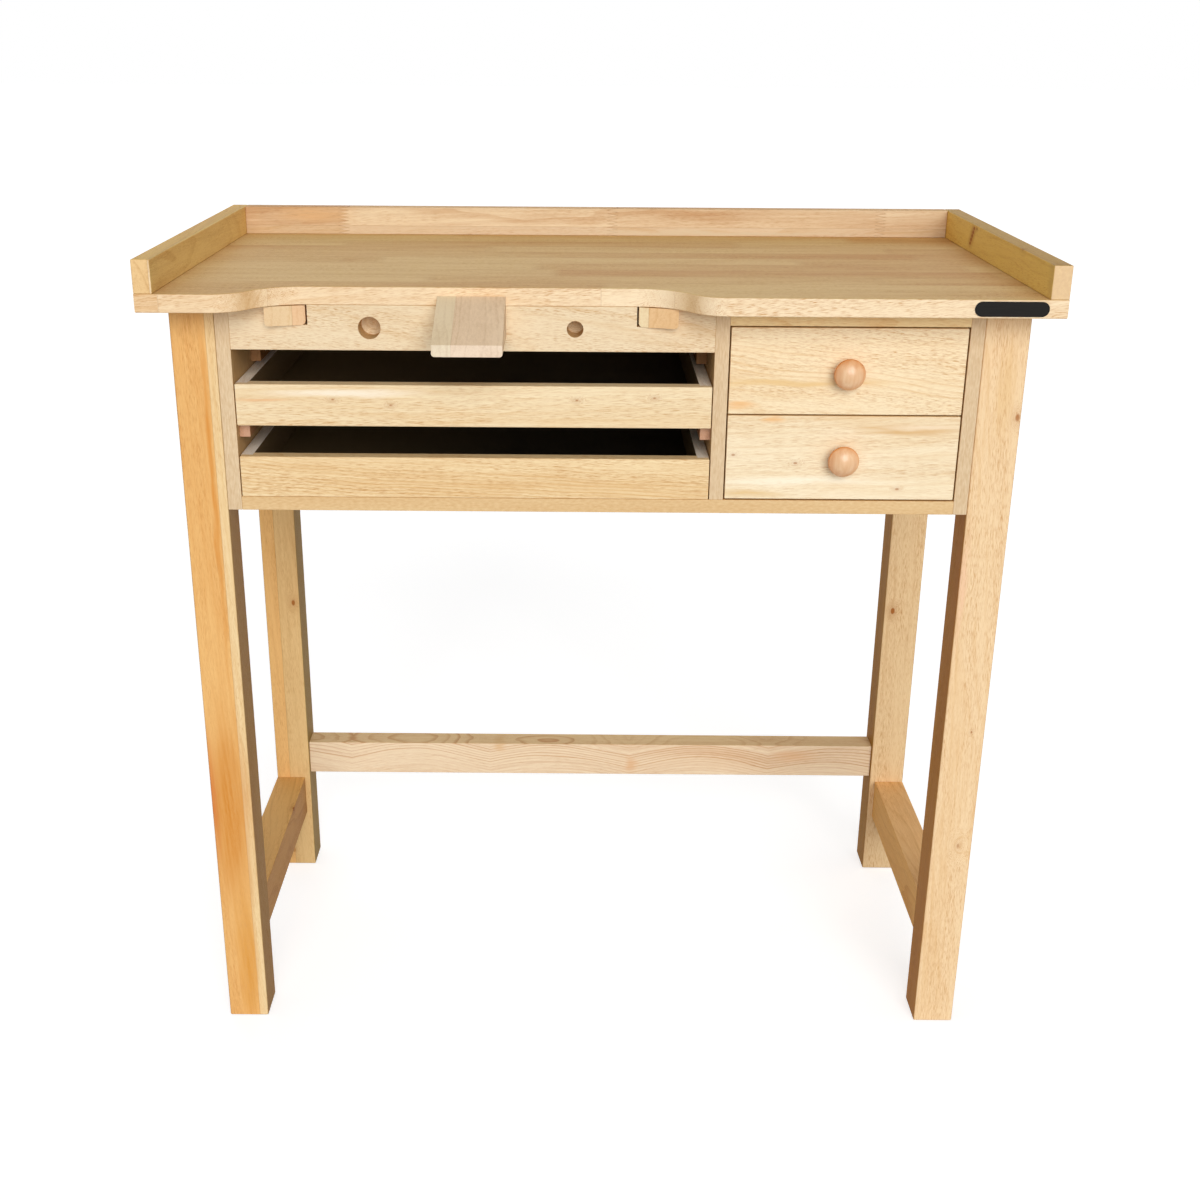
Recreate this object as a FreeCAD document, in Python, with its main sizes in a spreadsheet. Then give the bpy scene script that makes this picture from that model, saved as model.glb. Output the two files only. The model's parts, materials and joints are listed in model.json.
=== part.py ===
import FreeCAD, Part
import math
import os
import re

import Sketcher

# A jeweller's bench in laminated hardwood. Millimetres, +Z up, X to the right of someone who
# stands at the front, Y towards the back. The origin is on the floor, in the middle of the
# overall width and of the overall depth, which runs from the tip of the bench pin to the
# back edge of the top.

SIZES = {
    # overall
    "bench_width": 990,
    "bench_depth": 510,
    "bench_height": 990,
    "side_overhang": 20,
    "front_overhang": 56,
    "rear_overhang": 20,
    # top and the lips round it
    "top_thickness": 20,
    "lip_thickness": 20,
    "lip_height": 36,
    "cutout_width": 555,
    "cutout_corner_radius": 44,
    "cutout_bend_radius": 70,
    # legs and stretchers
    "leg_side": 50,
    "leg_round": 2,
    "edge_round": 1.2,
    "fine_edge_round": 0.6,
    "side_stretcher_thickness": 42,
    "side_stretcher_height": 60,
    "side_stretcher_bottom": 91,
    "tenon_thickness": 20,
    "tenon_height": 40,
    "tenon_length": 25,
    "rear_stretcher_thickness": 35,
    "rear_stretcher_height": 50,
    "rear_stretcher_bottom": 157,
    "rear_stretcher_inset": 6,
    # cabinet
    "cabinet_height": 236,
    "panel_thickness": 16,
    "tray_bay_width": 537,
    "back_thickness": 6,
    "back_rebate": 8,
    "rear_rail_thickness": 20,
    "rear_rail_height": 50,
    "drawer_rail_thickness": 20,
    "drawer_rail_depth": 60,
    # apron and what it holds
    "apron_height": 50,
    "apron_thickness": 38,
    "mandrel_spacing": 227,
    "mandrel_depth": 28,
    "wide_mandrel_diameter": 25,
    "narrow_mandrel_diameter": 18.5,
    "drill_point_angle": 118,
    "pin_width": 75,
    "pin_length": 90,
    "pin_rise": 10.5,
    "pin_slope": 36,
    "pin_tip_thickness": 12.5,
    "pin_corner_radius": 3.5,
    "pin_tenon_width": 50,
    "pin_tenon_height": 16,
    "pin_fit": 0.2,
    # armrests
    "armrest_width": 43,
    "armrest_thickness": 21.5,
    "armrest_spacing": 410,
    "armrest_slant": 12,
    "armrest_corner_radius": 4.5,
    "armrest_travel": 150,
    "armrest_tail": 22,
    "armrest_fit": 0.5,
    "armrest_side_gap": 2,
    "guide_rail_setback": 100,
    "guide_rail_thickness": 22,
    "guide_rail_height": 36,
    "peg_diameter": 8,
    "peg_length": 24,
    "peg_stand": 10,
    # trays
    "tray_height": 47.5,
    "tray_pitch": 83.5,
    "tray_back_gap": 28,
    "tray_front_thickness": 18,
    "tray_side_thickness": 14,
    "tray_gap": 1,
    "tray_bottom_thickness": 3,
    "runner_width": 12,
    "tray_runner_height": 17,
    "tray_runner_setback": 15,
    "kicker_setback": 100,
    "kicker_gap": 5,
    # drawers
    "drawer_gap": 1.5,
    "drawer_back_gap": 48,
    "drawer_front_thickness": 18,
    "drawer_side_thickness": 12,
    "drawer_side_height": 82,
    "drawer_bottom_thickness": 4,
    "drawer_runner_height": 12,
    "drawer_runner_setback": 3,
    "corner_lap": 10,
    "groove_depth": 6,
    "groove_lift": 6,
    # knobs
    "knob_diameter": 35,
    "knob_length": 25,
    "knob_foot_diameter": 15,
    "knob_neck_height": 11,
    "knob_rim_radius": 4,
    # fasteners
    "dowel_diameter": 8,
    "dowel_in_panel": 12,
    "dowel_in_rail": 18,
    "dowel_spread": 20,
    "dowel_chamfer": 1,
    "stretcher_dowel_spread": 32,
    "drawer_rail_dowel_inset": 10,
    "wood_screw_diameter": 4,
    "wood_screw_head": 8,
    "lip_screw_length": 45,
    "lip_screw_inset": 70,
    "top_screw_length": 35,
    "top_screw_bite": 15,
    "counterbore_diameter": 10,
    "guide_screw_shift": 82,
    "rear_rail_screw_inset": 80,
    "drawer_rail_screw_inset": 50,
    "carcass_screw_length": 50,
    "carcass_screw_diameter": 5,
    "carcass_screw_head": 10,
    "carcass_screw_inset": 60,
    "small_screw_diameter": 3,
    "small_screw_head": 6,
    "back_screw_length": 16,
    "back_screw_inset": 50,
    "back_screw_drop": 12,
    "runner_screw_length": 25,
    "runner_screw_inset": 30,
    "bolt_diameter": 6,
    "bolt_head_diameter": 15,
    "bolt_head_height": 2.2,
    "leg_bolt_length": 35,
    "low_bolt_height": 30,
    "high_bolt_height": 116,
    "insert_diameter": 10,
    "insert_length": 20,
    "stretcher_bolt_bite": 35,
    "barrel_nut_diameter": 10,
    "barrel_nut_length": 16,
    "barrel_nut_inset": 28,
    "knob_screw_diameter": 4,
    "knob_screw_length": 30,
    "knob_screw_head": 8,
    "knob_screw_head_height": 3,
    # blank name plate
    "plate_length": 79,
    "plate_height": 16,
    "plate_thickness": 0.8,
    "plate_inset": 20,
}

# Places and sizes that follow from the driving ones.
DERIVED = {
    # X
    "top_half": "bench_width / 2",
    "leg_outer": "top_half - side_overhang",
    "leg_inner": "leg_outer - leg_side",
    "bay_side": "leg_inner - panel_thickness",
    "divider_left": "tray_bay_width - bay_side",
    "divider_right": "divider_left + panel_thickness",
    "cut_centre": "tray_bay_width / 2 - bay_side",
    "drawer_bay_width": "bay_side - divider_right",
    # Y
    "front_reach": "max(pin_length - front_overhang; 0)",
    "top_front": "(front_reach - bench_depth) / 2",
    "top_back": "top_front + bench_depth",
    "face": "top_front + front_overhang",
    "rear_face": "top_back - rear_overhang",
    "bay_back": "rear_face - back_thickness",
    "front_leg_centre": "face + leg_side / 2",
    "rear_leg_front": "rear_face - leg_side",
    "rear_leg_centre": "rear_face - leg_side / 2",
    "rear_rail_front": "bay_back - rear_rail_thickness",
    "guide_rail_front": "face + guide_rail_setback",
    "guide_rail_back": "guide_rail_front + guide_rail_thickness",
    "peg_place": "guide_rail_back + armrest_travel + armrest_fit + peg_diameter / 2",
    "armrest_length": "peg_place + armrest_tail - face",
    # Z
    "underside": "bench_height - lip_height - top_thickness",
    "worktop": "underside + top_thickness",
    "cabinet_bottom": "underside - cabinet_height",
    "bay_floor": "cabinet_bottom + panel_thickness",
    "apron_bottom": "underside - apron_height",
    "apron_middle": "underside - apron_height / 2",
    "armrest_bottom": "underside - armrest_thickness - armrest_fit",
    "guide_rail_bottom": "underside - guide_rail_height",
    "rear_rail_bottom": "underside - rear_rail_height",
    "drawer_rail_bottom": "underside - drawer_rail_thickness",
    "top_screw_head": "underside + top_screw_bite - top_screw_length",
    "upper_tray_bottom": "bay_floor + tray_pitch",
    "tray_runner_bottom": "upper_tray_bottom - tray_runner_height",
    "kicker_bottom": "upper_tray_bottom + tray_height + kicker_gap",
    "drawer_front_height": "(drawer_rail_bottom - bay_floor - 3 * drawer_gap) / 2",
    "drawer_pitch": "drawer_front_height + drawer_gap",
    "upper_drawer_bottom": "bay_floor + drawer_pitch",
    "drawer_runner_bottom": "upper_drawer_bottom - drawer_runner_height",
    "rear_stretcher_middle": "rear_stretcher_bottom + rear_stretcher_height / 2",
    "rear_stretcher_front": "rear_leg_front + rear_stretcher_inset",
    "rear_stretcher_centre": "rear_stretcher_front + rear_stretcher_thickness / 2",
    # lengths
    "cabinet_depth": "rear_face - face",
    "bay_depth": "bay_back - face",
    "tray_depth": "bay_depth - tray_back_gap",
    "drawer_depth": "bay_depth - drawer_back_gap",
    "cutout_run": "sqrt((cutout_corner_radius + cutout_bend_radius)^2"
                  " - (cutout_corner_radius + cutout_bend_radius - front_overhang)^2)",
    "pin_bottom": "underside + pin_rise - pin_slope - pin_tip_thickness",
    "drawer_runner_start": "drawer_front_thickness + drawer_runner_setback",
    "dowel_length": "dowel_in_panel + dowel_in_rail",
    "knob_bore_depth": "knob_screw_length - drawer_front_thickness",
    "knob_shoulder": "knob_diameter / 2 - knob_rim_radius",
    "knob_cap_height": "knob_length - knob_neck_height - knob_rim_radius",
    "knob_crown_radius": "(knob_shoulder^2 + knob_cap_height^2 - knob_rim_radius^2)"
                         " / (2 * (knob_cap_height - knob_rim_radius))",
}

POINTING = {
    "+Z": FreeCAD.Rotation(),
    "+X": FreeCAD.Rotation(FreeCAD.Vector(0, 1, 0), 90),
    "-X": FreeCAD.Rotation(FreeCAD.Vector(0, 1, 0), -90),
    "+Y": FreeCAD.Rotation(FreeCAD.Vector(1, 0, 0), -90),
    "-Y": FreeCAD.Rotation(FreeCAD.Vector(1, 0, 0), 90),
}
NEAR = 1e-4

doc = FreeCAD.newDocument("JewellersBench")
nodes = []


# ---------------------------------------------------------------- sheet and formulas
def fill_sheet():
    sheet = doc.addObject("Spreadsheet::Sheet", "Sizes")
    for row, (name, number) in enumerate(SIZES.items(), start=1):
        sheet.set(f"A{row}", name)
        sheet.set(f"B{row}", str(number))
        sheet.setAlias(f"B{row}", name)
    doc.recompute()
    return sheet


def formula(text):
    """A formula in the bench's own words, as an expression on the sheet."""

    def spell_out(match):
        word = match.group(0)
        if word in DERIVED:
            return f"({formula(DERIVED[word])})"
        return f"Sizes.{word}" if word in SIZES else word

    return re.sub(r"[a-z][a-z_]+", spell_out, text)


def bind(thing, **formulas):
    for name, text in formulas.items():
        thing.setExpression(name, formula(text))


def spread(start, end, count):
    """Formulas of evenly spaced places from a start to an end."""
    return [f"{start} + {step} / {count - 1} * ({end} - ({start}))" for step in range(count)]


def place(thing, at, pointing="+Z"):
    thing.Placement = FreeCAD.Placement(FreeCAD.Vector(), POINTING[pointing])
    for axis, text in zip("xyz", at):
        thing.setExpression(f".Placement.Base.{axis}", formula(text))


# ---------------------------------------------------------------- sketches
def body_and_sketch(name, plane="XY_Plane"):
    body = doc.addObject("PartDesign::Body", name)
    sketch = body.newObject("Sketcher::SketchObject", f"{name}_sketch")
    support = next(f for f in body.Origin.OriginFeatures if f.Role == plane)
    sketch.AttachmentSupport = [(support, "")]
    sketch.MapMode = "FlatFace"
    return body, sketch


def dimension(sketch, name, kind, *where):
    """Add a dimension to a sketch under a name, ready to be bound; its last item is a formula."""
    *points, text = where
    index = sketch.addConstraint(Sketcher.Constraint(kind, *points, guess(text)))
    sketch.renameConstraint(index, name)
    sketch.setExpression(f"Constraints.{name}", formula(text))


def closed_polygon(sketch, points):
    """A closed outline whose corners stand at the given distances from the sketch's origin."""
    corners = [point(guess(x), guess(y)) for x, y in points]
    for i, corner in enumerate(corners):
        sketch.addGeometry(Part.LineSegment(corner, corners[(i + 1) % len(corners)]), False)
    for i, (x, y) in enumerate(points):
        sketch.addConstraint(Sketcher.Constraint("Coincident", i, 2, (i + 1) % len(points), 1))
        pin_corner(sketch, i, 1, x, y, f"corner_{i}")


def pin_corner(sketch, line, end, x, y, name):
    """Hold one end of a line at x and y; a coordinate of 0 puts it on the axis."""
    if x == "0":
        sketch.addConstraint(Sketcher.Constraint("PointOnObject", line, end, -2))
    else:
        dimension(sketch, f"{name}_across", "DistanceX", -1, 1, line, end, x)
    if y == "0":
        sketch.addConstraint(Sketcher.Constraint("PointOnObject", line, end, -1))
    else:
        dimension(sketch, f"{name}_up", "DistanceY", -1, 1, line, end, y)


def guess(text):
    """The present value of a formula, to draw a sketch near its final shape."""
    return float(sizes.evalExpression(formula(text)))


def point(x, y):
    return FreeCAD.Vector(x, y, 0)


def arc(x, y, radius, start, end):
    """An arc about a centre, anticlockwise from one angle to another."""
    circle = Part.Circle(point(x, y), FreeCAD.Vector(0, 0, 1), radius)
    return Part.ArcOfCircle(circle, start, end)


def edges_where(feature, test):
    """Names of a feature's edges whose two ends both pass a test."""
    found = []
    for number, edge in enumerate(feature.Shape.Edges, start=1):
        if all(test(vertex.Point) for vertex in edge.Vertexes):
            found.append(f"Edge{number}")
    return found


def lower_edges_along(feature):
    """Names of the two lower edges that run along Y."""
    left = edges_where(feature, lambda corner: corner.z < NEAR and corner.x < NEAR)
    right = edges_where(feature, lambda corner: corner.z < NEAR and corner.x > NEAR)
    return left + right


def round_edges(body, feature, radius, edges=None):
    """Round some of a body's edges, or all of them."""
    rounding = body.newObject("PartDesign::Fillet", f"{body.Name}_rounding")
    rounding.Base = (feature, edges or [""])
    rounding.UseAllEdges = edges is None
    bind(rounding, Radius=radius)


# ---------------------------------------------------------------- pieces and tools
def node(label, thing):
    thing.Label = label
    nodes.append(thing)
    return thing


def board(name, at, size, rounding="edge_round"):
    """A planed board: a rectangle, padded to its height, with every edge eased."""
    body, sketch = body_and_sketch(name)
    length, width, height = size
    across, along = guess(length), guess(width)
    corners = [point(0, 0), point(across, 0), point(across, along), point(0, along)]
    for i, corner in enumerate(corners):
        sketch.addGeometry(Part.LineSegment(corner, corners[(i + 1) % 4]), False)
    for i in range(4):
        sketch.addConstraint(Sketcher.Constraint("Coincident", i, 2, (i + 1) % 4, 1))
        sketch.addConstraint(Sketcher.Constraint("Vertical" if i % 2 else "Horizontal", i))
    sketch.addConstraint(Sketcher.Constraint("Coincident", 0, 1, -1, 1))
    dimension(sketch, "length", "DistanceX", 0, 1, 0, 2, length)
    dimension(sketch, "width", "DistanceY", 1, 1, 1, 2, width)
    pad = padded(body, sketch, height)
    place(body, at)
    if rounding:
        doc.recompute()
        round_edges(body, pad, rounding)
    return body


def padded(body, sketch, height):
    pad = body.newObject("PartDesign::Pad", f"{body.Name}_pad")
    pad.Profile = sketch
    bind(pad, Length=height)
    return pad


def block(name, at, size):
    """A plain block, to be cut away or joined on."""
    box = doc.addObject("Part::Box", name)
    bind(box, Length=size[0], Width=size[1], Height=size[2])
    place(box, at)
    return box


def rod(name, at, pointing, diameter, length):
    """A plain round rod or drilled hole that starts at a point."""
    cylinder = doc.addObject("Part::Cylinder", name)
    bind(cylinder, Radius=f"({diameter}) / 2", Height=length)
    place(cylinder, at, pointing)
    return cylinder


def drill_tip(name, at, pointing, diameter):
    """The cone that a drill's point leaves at the bottom of a hole."""
    cone = doc.addObject("Part::Cone", name)
    bind(cone, Radius1=f"({diameter}) / 2", Height=f"({diameter}) / 2 / tan(drill_point_angle / 2)")
    cone.Radius2 = 0
    place(cone, at, pointing)
    return cone


def joined(name, *things):
    fuse = doc.addObject("Part::MultiFuse", name)
    fuse.Shapes = list(things)
    fuse.Refine = True
    return fuse


def without(name, base, *tools):
    """A piece with tools, or whatever sits in it, cut away."""
    cut = doc.addObject("Part::Cut", f"{name}_cut")
    cut.Base = base
    cut.Tool = tools[0] if len(tools) == 1 else joined(f"{name}_tools", *tools)
    return cut


def turned(name, points):
    """A piece turned about Z from the outline of half its section."""
    body, sketch = body_and_sketch(name, "XZ_Plane")
    closed_polygon(sketch, points)
    turn(body, sketch)
    return body


def turn(body, sketch):
    revolution = body.newObject("PartDesign::Revolution", f"{body.Name}_turn")
    revolution.Profile = sketch
    revolution.ReferenceAxis = (sketch, ["V_Axis"])
    revolution.Angle = 360


def copies(name, pattern, places):
    """Identical pieces in one group: linked copies of a pattern, each with a place and direction."""
    links = []
    for number, (at, pointing) in enumerate(places, start=1):
        link = doc.addObject("App::Link", f"{name}_{number}")
        link.LinkedObject = pattern
        place(link, at, pointing)
        links.append(link)
    return grouped(name, *links)


def grouped(name, *things):
    group = doc.addObject("Part::Compound", name)
    group.Links = list(things)
    return group


# ---------------------------------------------------------------- fasteners
def countersunk_screw(name, diameter, head, length):
    """A countersunk screw with its head's face at the origin and its point along +Z."""
    shank = f"({diameter}) / 2"
    rim = f"({head}) / 2"
    return turned(name, [
        ("0", "0"),
        (rim, "0"),
        (shank, f"{rim} - {shank}"),
        (shank, f"({length}) - ({diameter})"),
        ("0", length),
    ])


def flat_bolt(name, length):
    """A connector bolt with a broad flat head, let in flush, its shank along +Z."""
    return turned(name, [
        ("0", "0"),
        ("bolt_head_diameter / 2", "0"),
        ("bolt_head_diameter / 2", "bolt_head_height"),
        ("bolt_diameter / 2", "bolt_head_height"),
        ("bolt_diameter / 2", length),
        ("0", length),
    ])


def plain_dowel(name):
    """A straight dowel with chamfered ends, standing on the origin."""
    radius = "dowel_diameter / 2"
    return turned(name, [
        ("0", "0"),
        (f"{radius} - dowel_chamfer", "0"),
        (radius, "dowel_chamfer"),
        (radius, "dowel_length - dowel_chamfer"),
        (f"{radius} - dowel_chamfer", "dowel_length"),
        ("0", "dowel_length"),
    ])


def mirrored_ends(half, y, z):
    """Two places, one at each end of a part that lies across the bench, pointing inwards."""
    return [((f"-({half})", y, z), "+X"), ((half, y, z), "-X")]


def dowel_places():
    """Two dowels in each end of each rail; they start in the panel or leg that it butts against."""
    left, right = "-bay_side - dowel_in_panel", "divider_left + dowel_in_panel"
    apron_y = "face + apron_thickness / 2"
    guide_y = "guide_rail_front + guide_rail_thickness / 2"
    rear_y = "rear_rail_front + rear_rail_thickness / 2"
    drawer_z = "drawer_rail_bottom + drawer_rail_thickness / 2"
    places = []
    for side in "-+":
        apron_z = f"apron_middle {side} dowel_spread / 2"
        guide_z = f"underside - guide_rail_height / 2 {side} dowel_spread / 2"
        rear_z = f"underside - rear_rail_height / 2 {side} dowel_spread / 2"
        stretcher_z = f"rear_stretcher_middle {side} stretcher_dowel_spread / 2"
        places += [((left, apron_y, apron_z), "+X"), ((right, apron_y, apron_z), "-X")]
        places += [((left, guide_y, guide_z), "+X"), ((right, guide_y, guide_z), "-X")]
        places += mirrored_ends("bay_side + dowel_in_panel", rear_y, rear_z)
        places += mirrored_ends("leg_inner + dowel_in_panel", "rear_stretcher_centre", stretcher_z)
    for setback in ("drawer_rail_depth / 2", "drawer_rail_depth - drawer_rail_dowel_inset"):
        y = f"face + {setback}"
        places += [(("divider_right - dowel_in_panel", y, drawer_z), "+X"),
                   (("bay_side + dowel_in_panel", y, drawer_z), "-X")]
    return places


def lip_screw_places():
    """Screws from below: three into each side lip and five into the back one."""
    side_x = "top_half - lip_thickness / 2"
    back_y = "top_back - lip_thickness / 2"
    back_end = "top_half - lip_thickness - lip_screw_inset"
    places = []
    for y in spread("top_front + lip_screw_inset", "top_back - lip_screw_inset", 3):
        places += [((f"-({side_x})", y, "underside"), "+Z"), ((side_x, y, "underside"), "+Z")]
    for x in spread(f"-({back_end})", back_end, 5):
        places.append(((x, back_y, "underside"), "+Z"))
    return places


def guide_rail_screw_places():
    y = "guide_rail_front + guide_rail_thickness / 2"
    return [((f"cut_centre {side} guide_screw_shift", y, "top_screw_head"), "+Z") for side in "-+"]


def rear_rail_screw_places():
    y = "rear_rail_front + rear_rail_thickness / 2"
    end = "bay_side - rear_rail_screw_inset"
    return [((x, y, "top_screw_head"), "+Z") for x in spread(f"-({end})", end, 4)]


def drawer_rail_screw_places():
    y = "face + drawer_rail_depth / 2"
    ends = ("divider_right + drawer_rail_screw_inset", "bay_side - drawer_rail_screw_inset")
    return [((x, y, "top_screw_head"), "+Z") for x in ends]


def carcass_screw_places():
    """Screws through the side panels into the floor, and through the floor into the divider."""
    places = []
    for y in spread("face + carcass_screw_inset", "bay_back - carcass_screw_inset", 3):
        places += mirrored_ends("leg_inner", y, "cabinet_bottom + panel_thickness / 2")
        places.append((("divider_left + panel_thickness / 2", y, "cabinet_bottom"), "+Z"))
    return places


def back_screw_places():
    """Screws round the back panel, into the side panels, the divider, the floor and the rail."""
    low, high = "bay_floor + back_screw_inset", "underside - back_screw_inset"
    side_x = "bay_side + back_rebate / 2"
    divider_x = "divider_left + panel_thickness / 2"
    end = "bay_side - back_screw_inset"
    spots = []
    for z in spread(low, high, 3):
        spots += [(f"-({side_x})", z), (side_x, z)]
    for z in spread(low, "rear_rail_bottom - back_screw_inset", 2):
        spots.append((divider_x, z))
    for x in spread(f"-({end})", end, 4):
        spots.append((x, "cabinet_bottom + panel_thickness / 2"))
    for x in spread(f"-({end})", end, 3):
        spots.append((x, "underside - back_screw_drop"))
    return [((x, "rear_face", z), "-Y") for x, z in spots]


def runner_screw_places():
    """Three screws through each runner: its inner face, the way into its panel, front end, height."""
    tray_z = "tray_runner_bottom + tray_runner_height / 2"
    kicker_z = "kicker_bottom + tray_runner_height / 2"
    drawer_z = "drawer_runner_bottom + drawer_runner_height / 2"
    tray_left, tray_right = "runner_width - bay_side", "divider_left - runner_width"
    drawer_left, drawer_right = "divider_right + runner_width", "bay_side - runner_width"
    runners = (
        (tray_left, "-X", "tray_runner_setback", tray_z),
        (tray_right, "+X", "tray_runner_setback", tray_z),
        (tray_left, "-X", "kicker_setback", kicker_z),
        (tray_right, "+X", "kicker_setback", kicker_z),
        (drawer_left, "-X", "drawer_runner_start", drawer_z),
        (drawer_right, "+X", "drawer_runner_start", drawer_z),
    )
    places = []
    for x, pointing, setback, z in runners:
        for y in spread(f"face + {setback} + runner_screw_inset", "bay_back - runner_screw_inset", 3):
            places.append(((x, y, z), pointing))
    return places


def leg_bolt_places(start):
    """Two bolts into each leg, from a distance off the bench's middle, pointing outwards."""
    places = []
    for y in ("front_leg_centre", "rear_leg_centre"):
        for height in ("low_bolt_height", "high_bolt_height"):
            z = f"bay_floor + {height}"
            places += [((f"-({start})", y, z), "-X"), ((start, y, z), "+X")]
    return places


# ---------------------------------------------------------------- top
def cut_outline(sketch):
    """The top in plan, its front edge on the X axis, with the sitter's cut-out in it.

    Each end of the cut-out is an S of two tangent arcs: a round corner, then a hollow bend.
    """
    half, depth = guess("top_half"), guess("bench_depth")
    mouth, centre = guess("cutout_width") / 2, guess("cut_centre")
    corner, bend = guess("cutout_corner_radius"), guess("cutout_bend_radius")
    inset, run = guess("front_overhang"), guess("cutout_run")
    sweep = math.acos(1 - inset / (corner + bend))
    down, up = 1.5 * math.pi, 0.5 * math.pi
    left, right = centre - mouth, centre + mouth
    sketch.addGeometry([
        Part.LineSegment(point(-half, 0), point(left, 0)),
        arc(left, corner, corner, down, down + sweep),
        arc(left + run, inset - bend, bend, up, up + sweep),
        Part.LineSegment(point(left + run, inset), point(right - run, inset)),
        arc(right - run, inset - bend, bend, up - sweep, up),
        arc(right, corner, corner, down - sweep, down),
        Part.LineSegment(point(right, 0), point(half, 0)),
        Part.LineSegment(point(half, 0), point(half, depth)),
        Part.LineSegment(point(half, depth), point(-half, depth)),
        Part.LineSegment(point(-half, depth), point(-half, 0)),
    ], False)
    for touch in ((0, 2, 1, 1), (1, 2, 2, 2), (2, 1, 3, 1), (3, 2, 4, 2), (4, 1, 5, 1), (5, 2, 6, 1)):
        sketch.addConstraint(Sketcher.Constraint("Tangent", *touch))
    for first, second in ((6, 7), (7, 8), (8, 9), (9, 0)):
        sketch.addConstraint(Sketcher.Constraint("Coincident", first, 2, second, 1))
    for line in (0, 3, 6, 8):
        sketch.addConstraint(Sketcher.Constraint("Horizontal", line))
    for line in (7, 9):
        sketch.addConstraint(Sketcher.Constraint("Vertical", line))
    for line, end in ((0, 1), (6, 2)):
        sketch.addConstraint(Sketcher.Constraint("PointOnObject", line, end, -1))
    dimension(sketch, "left_corner", "Radius", 1, "cutout_corner_radius")
    dimension(sketch, "left_bend", "Radius", 2, "cutout_bend_radius")
    dimension(sketch, "right_bend", "Radius", 4, "cutout_bend_radius")
    dimension(sketch, "right_corner", "Radius", 5, "cutout_corner_radius")
    dimension(sketch, "inset", "DistanceY", -1, 1, 3, 1, "front_overhang")
    dimension(sketch, "mouth", "DistanceX", 0, 2, 6, 1, "cutout_width")
    dimension(sketch, "left_run", "DistanceX", 0, 1, 0, 2, "top_half + cut_centre - cutout_width / 2")
    dimension(sketch, "whole_width", "DistanceX", 0, 1, 6, 2, "bench_width")
    dimension(sketch, "half_width", "DistanceX", 0, 1, -1, 1, "top_half")
    dimension(sketch, "whole_depth", "DistanceY", 7, 1, 7, 2, "bench_depth")


def make_top(screws):
    body, sketch = body_and_sketch("bench_top_blank")
    cut_outline(sketch)
    pad = padded(body, sketch, "top_thickness")
    place(body, ("0", "top_front", "underside"))
    doc.recompute()
    cut = guess("front_overhang") + NEAR
    eased = edges_where(pad, lambda corner: corner.z < NEAR)
    eased += edges_where(pad, lambda corner: corner.z > NEAR and corner.y < cut)
    round_edges(body, pad, "edge_round", eased)
    node("bench_top", without("bench_top", body, *screws))


def make_lips(screws):
    side_size = ("lip_thickness", "bench_depth", "lip_height")
    for side, x in (("left", "-top_half"), ("right", "top_half - lip_thickness")):
        lip = board(f"{side}_lip_blank", (x, "top_front", "worktop"), side_size)
        node(f"{side}_lip", without(f"{side}_lip", lip, screws))
    back = board("back_lip_blank", ("lip_thickness - top_half", "top_back - lip_thickness", "worktop"),
                 ("bench_width - 2 * lip_thickness", "lip_thickness", "lip_height"))
    node("back_lip", without("back_lip", back, screws))


def make_plate():
    """A blank name plate with round ends, on the front edge of the top."""
    ends = "plate_height / 2"
    middle = "worktop - top_thickness / 2"
    right = "top_half - plate_inset"
    plate = joined(
        "blank_name_plate",
        block("plate_middle", (f"{right} - plate_length + {ends}", "top_front - plate_thickness",
                               f"{middle} - {ends}"),
              ("plate_length - plate_height", "plate_thickness", "plate_height")),
        rod("plate_left_end", (f"{right} - plate_length + {ends}", "top_front", middle), "-Y",
            "plate_height", "plate_thickness"),
        rod("plate_right_end", (f"{right} - {ends}", "top_front", middle), "-Y",
            "plate_height", "plate_thickness"),
    )
    node("blank_name_plate", plate)


# ---------------------------------------------------------------- frame
def make_side_stretchers():
    """Side stretchers flush with the legs' outer faces, with a tenon on each end."""
    made = {}
    length = "rear_leg_front - face - leg_side"
    for side, x in (("left", "-leg_outer"), ("right", "leg_outer - side_stretcher_thickness")):
        name = f"{side}_side_stretcher"
        rail = board(f"{name}_rail", (x, "face + leg_side", "side_stretcher_bottom"),
                     ("side_stretcher_thickness", length, "side_stretcher_height"))
        tenon = block(
            f"{name}_tenons",
            (f"{x} + (side_stretcher_thickness - tenon_thickness) / 2",
             "face + leg_side - tenon_length",
             "side_stretcher_bottom + (side_stretcher_height - tenon_height) / 2"),
            ("tenon_thickness", f"{length} + 2 * tenon_length", "tenon_height"))
        made[side] = node(name, joined(name, rail, tenon))
    return made


def make_legs(stretchers, inserts, dowels, bolts):
    for depth, y in (("front", "face"), ("rear", "rear_leg_front")):
        for side, x in (("left", "-leg_outer"), ("right", "leg_inner")):
            name = f"{depth}_{side}_leg"
            leg = board(f"{name}_blank", (x, y, "0"), ("leg_side", "leg_side", "underside"), "leg_round")
            held = [stretchers[side], inserts]
            if depth == "rear":
                held += [dowels, bolts]
            node(name, without(name, leg, *held))


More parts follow.
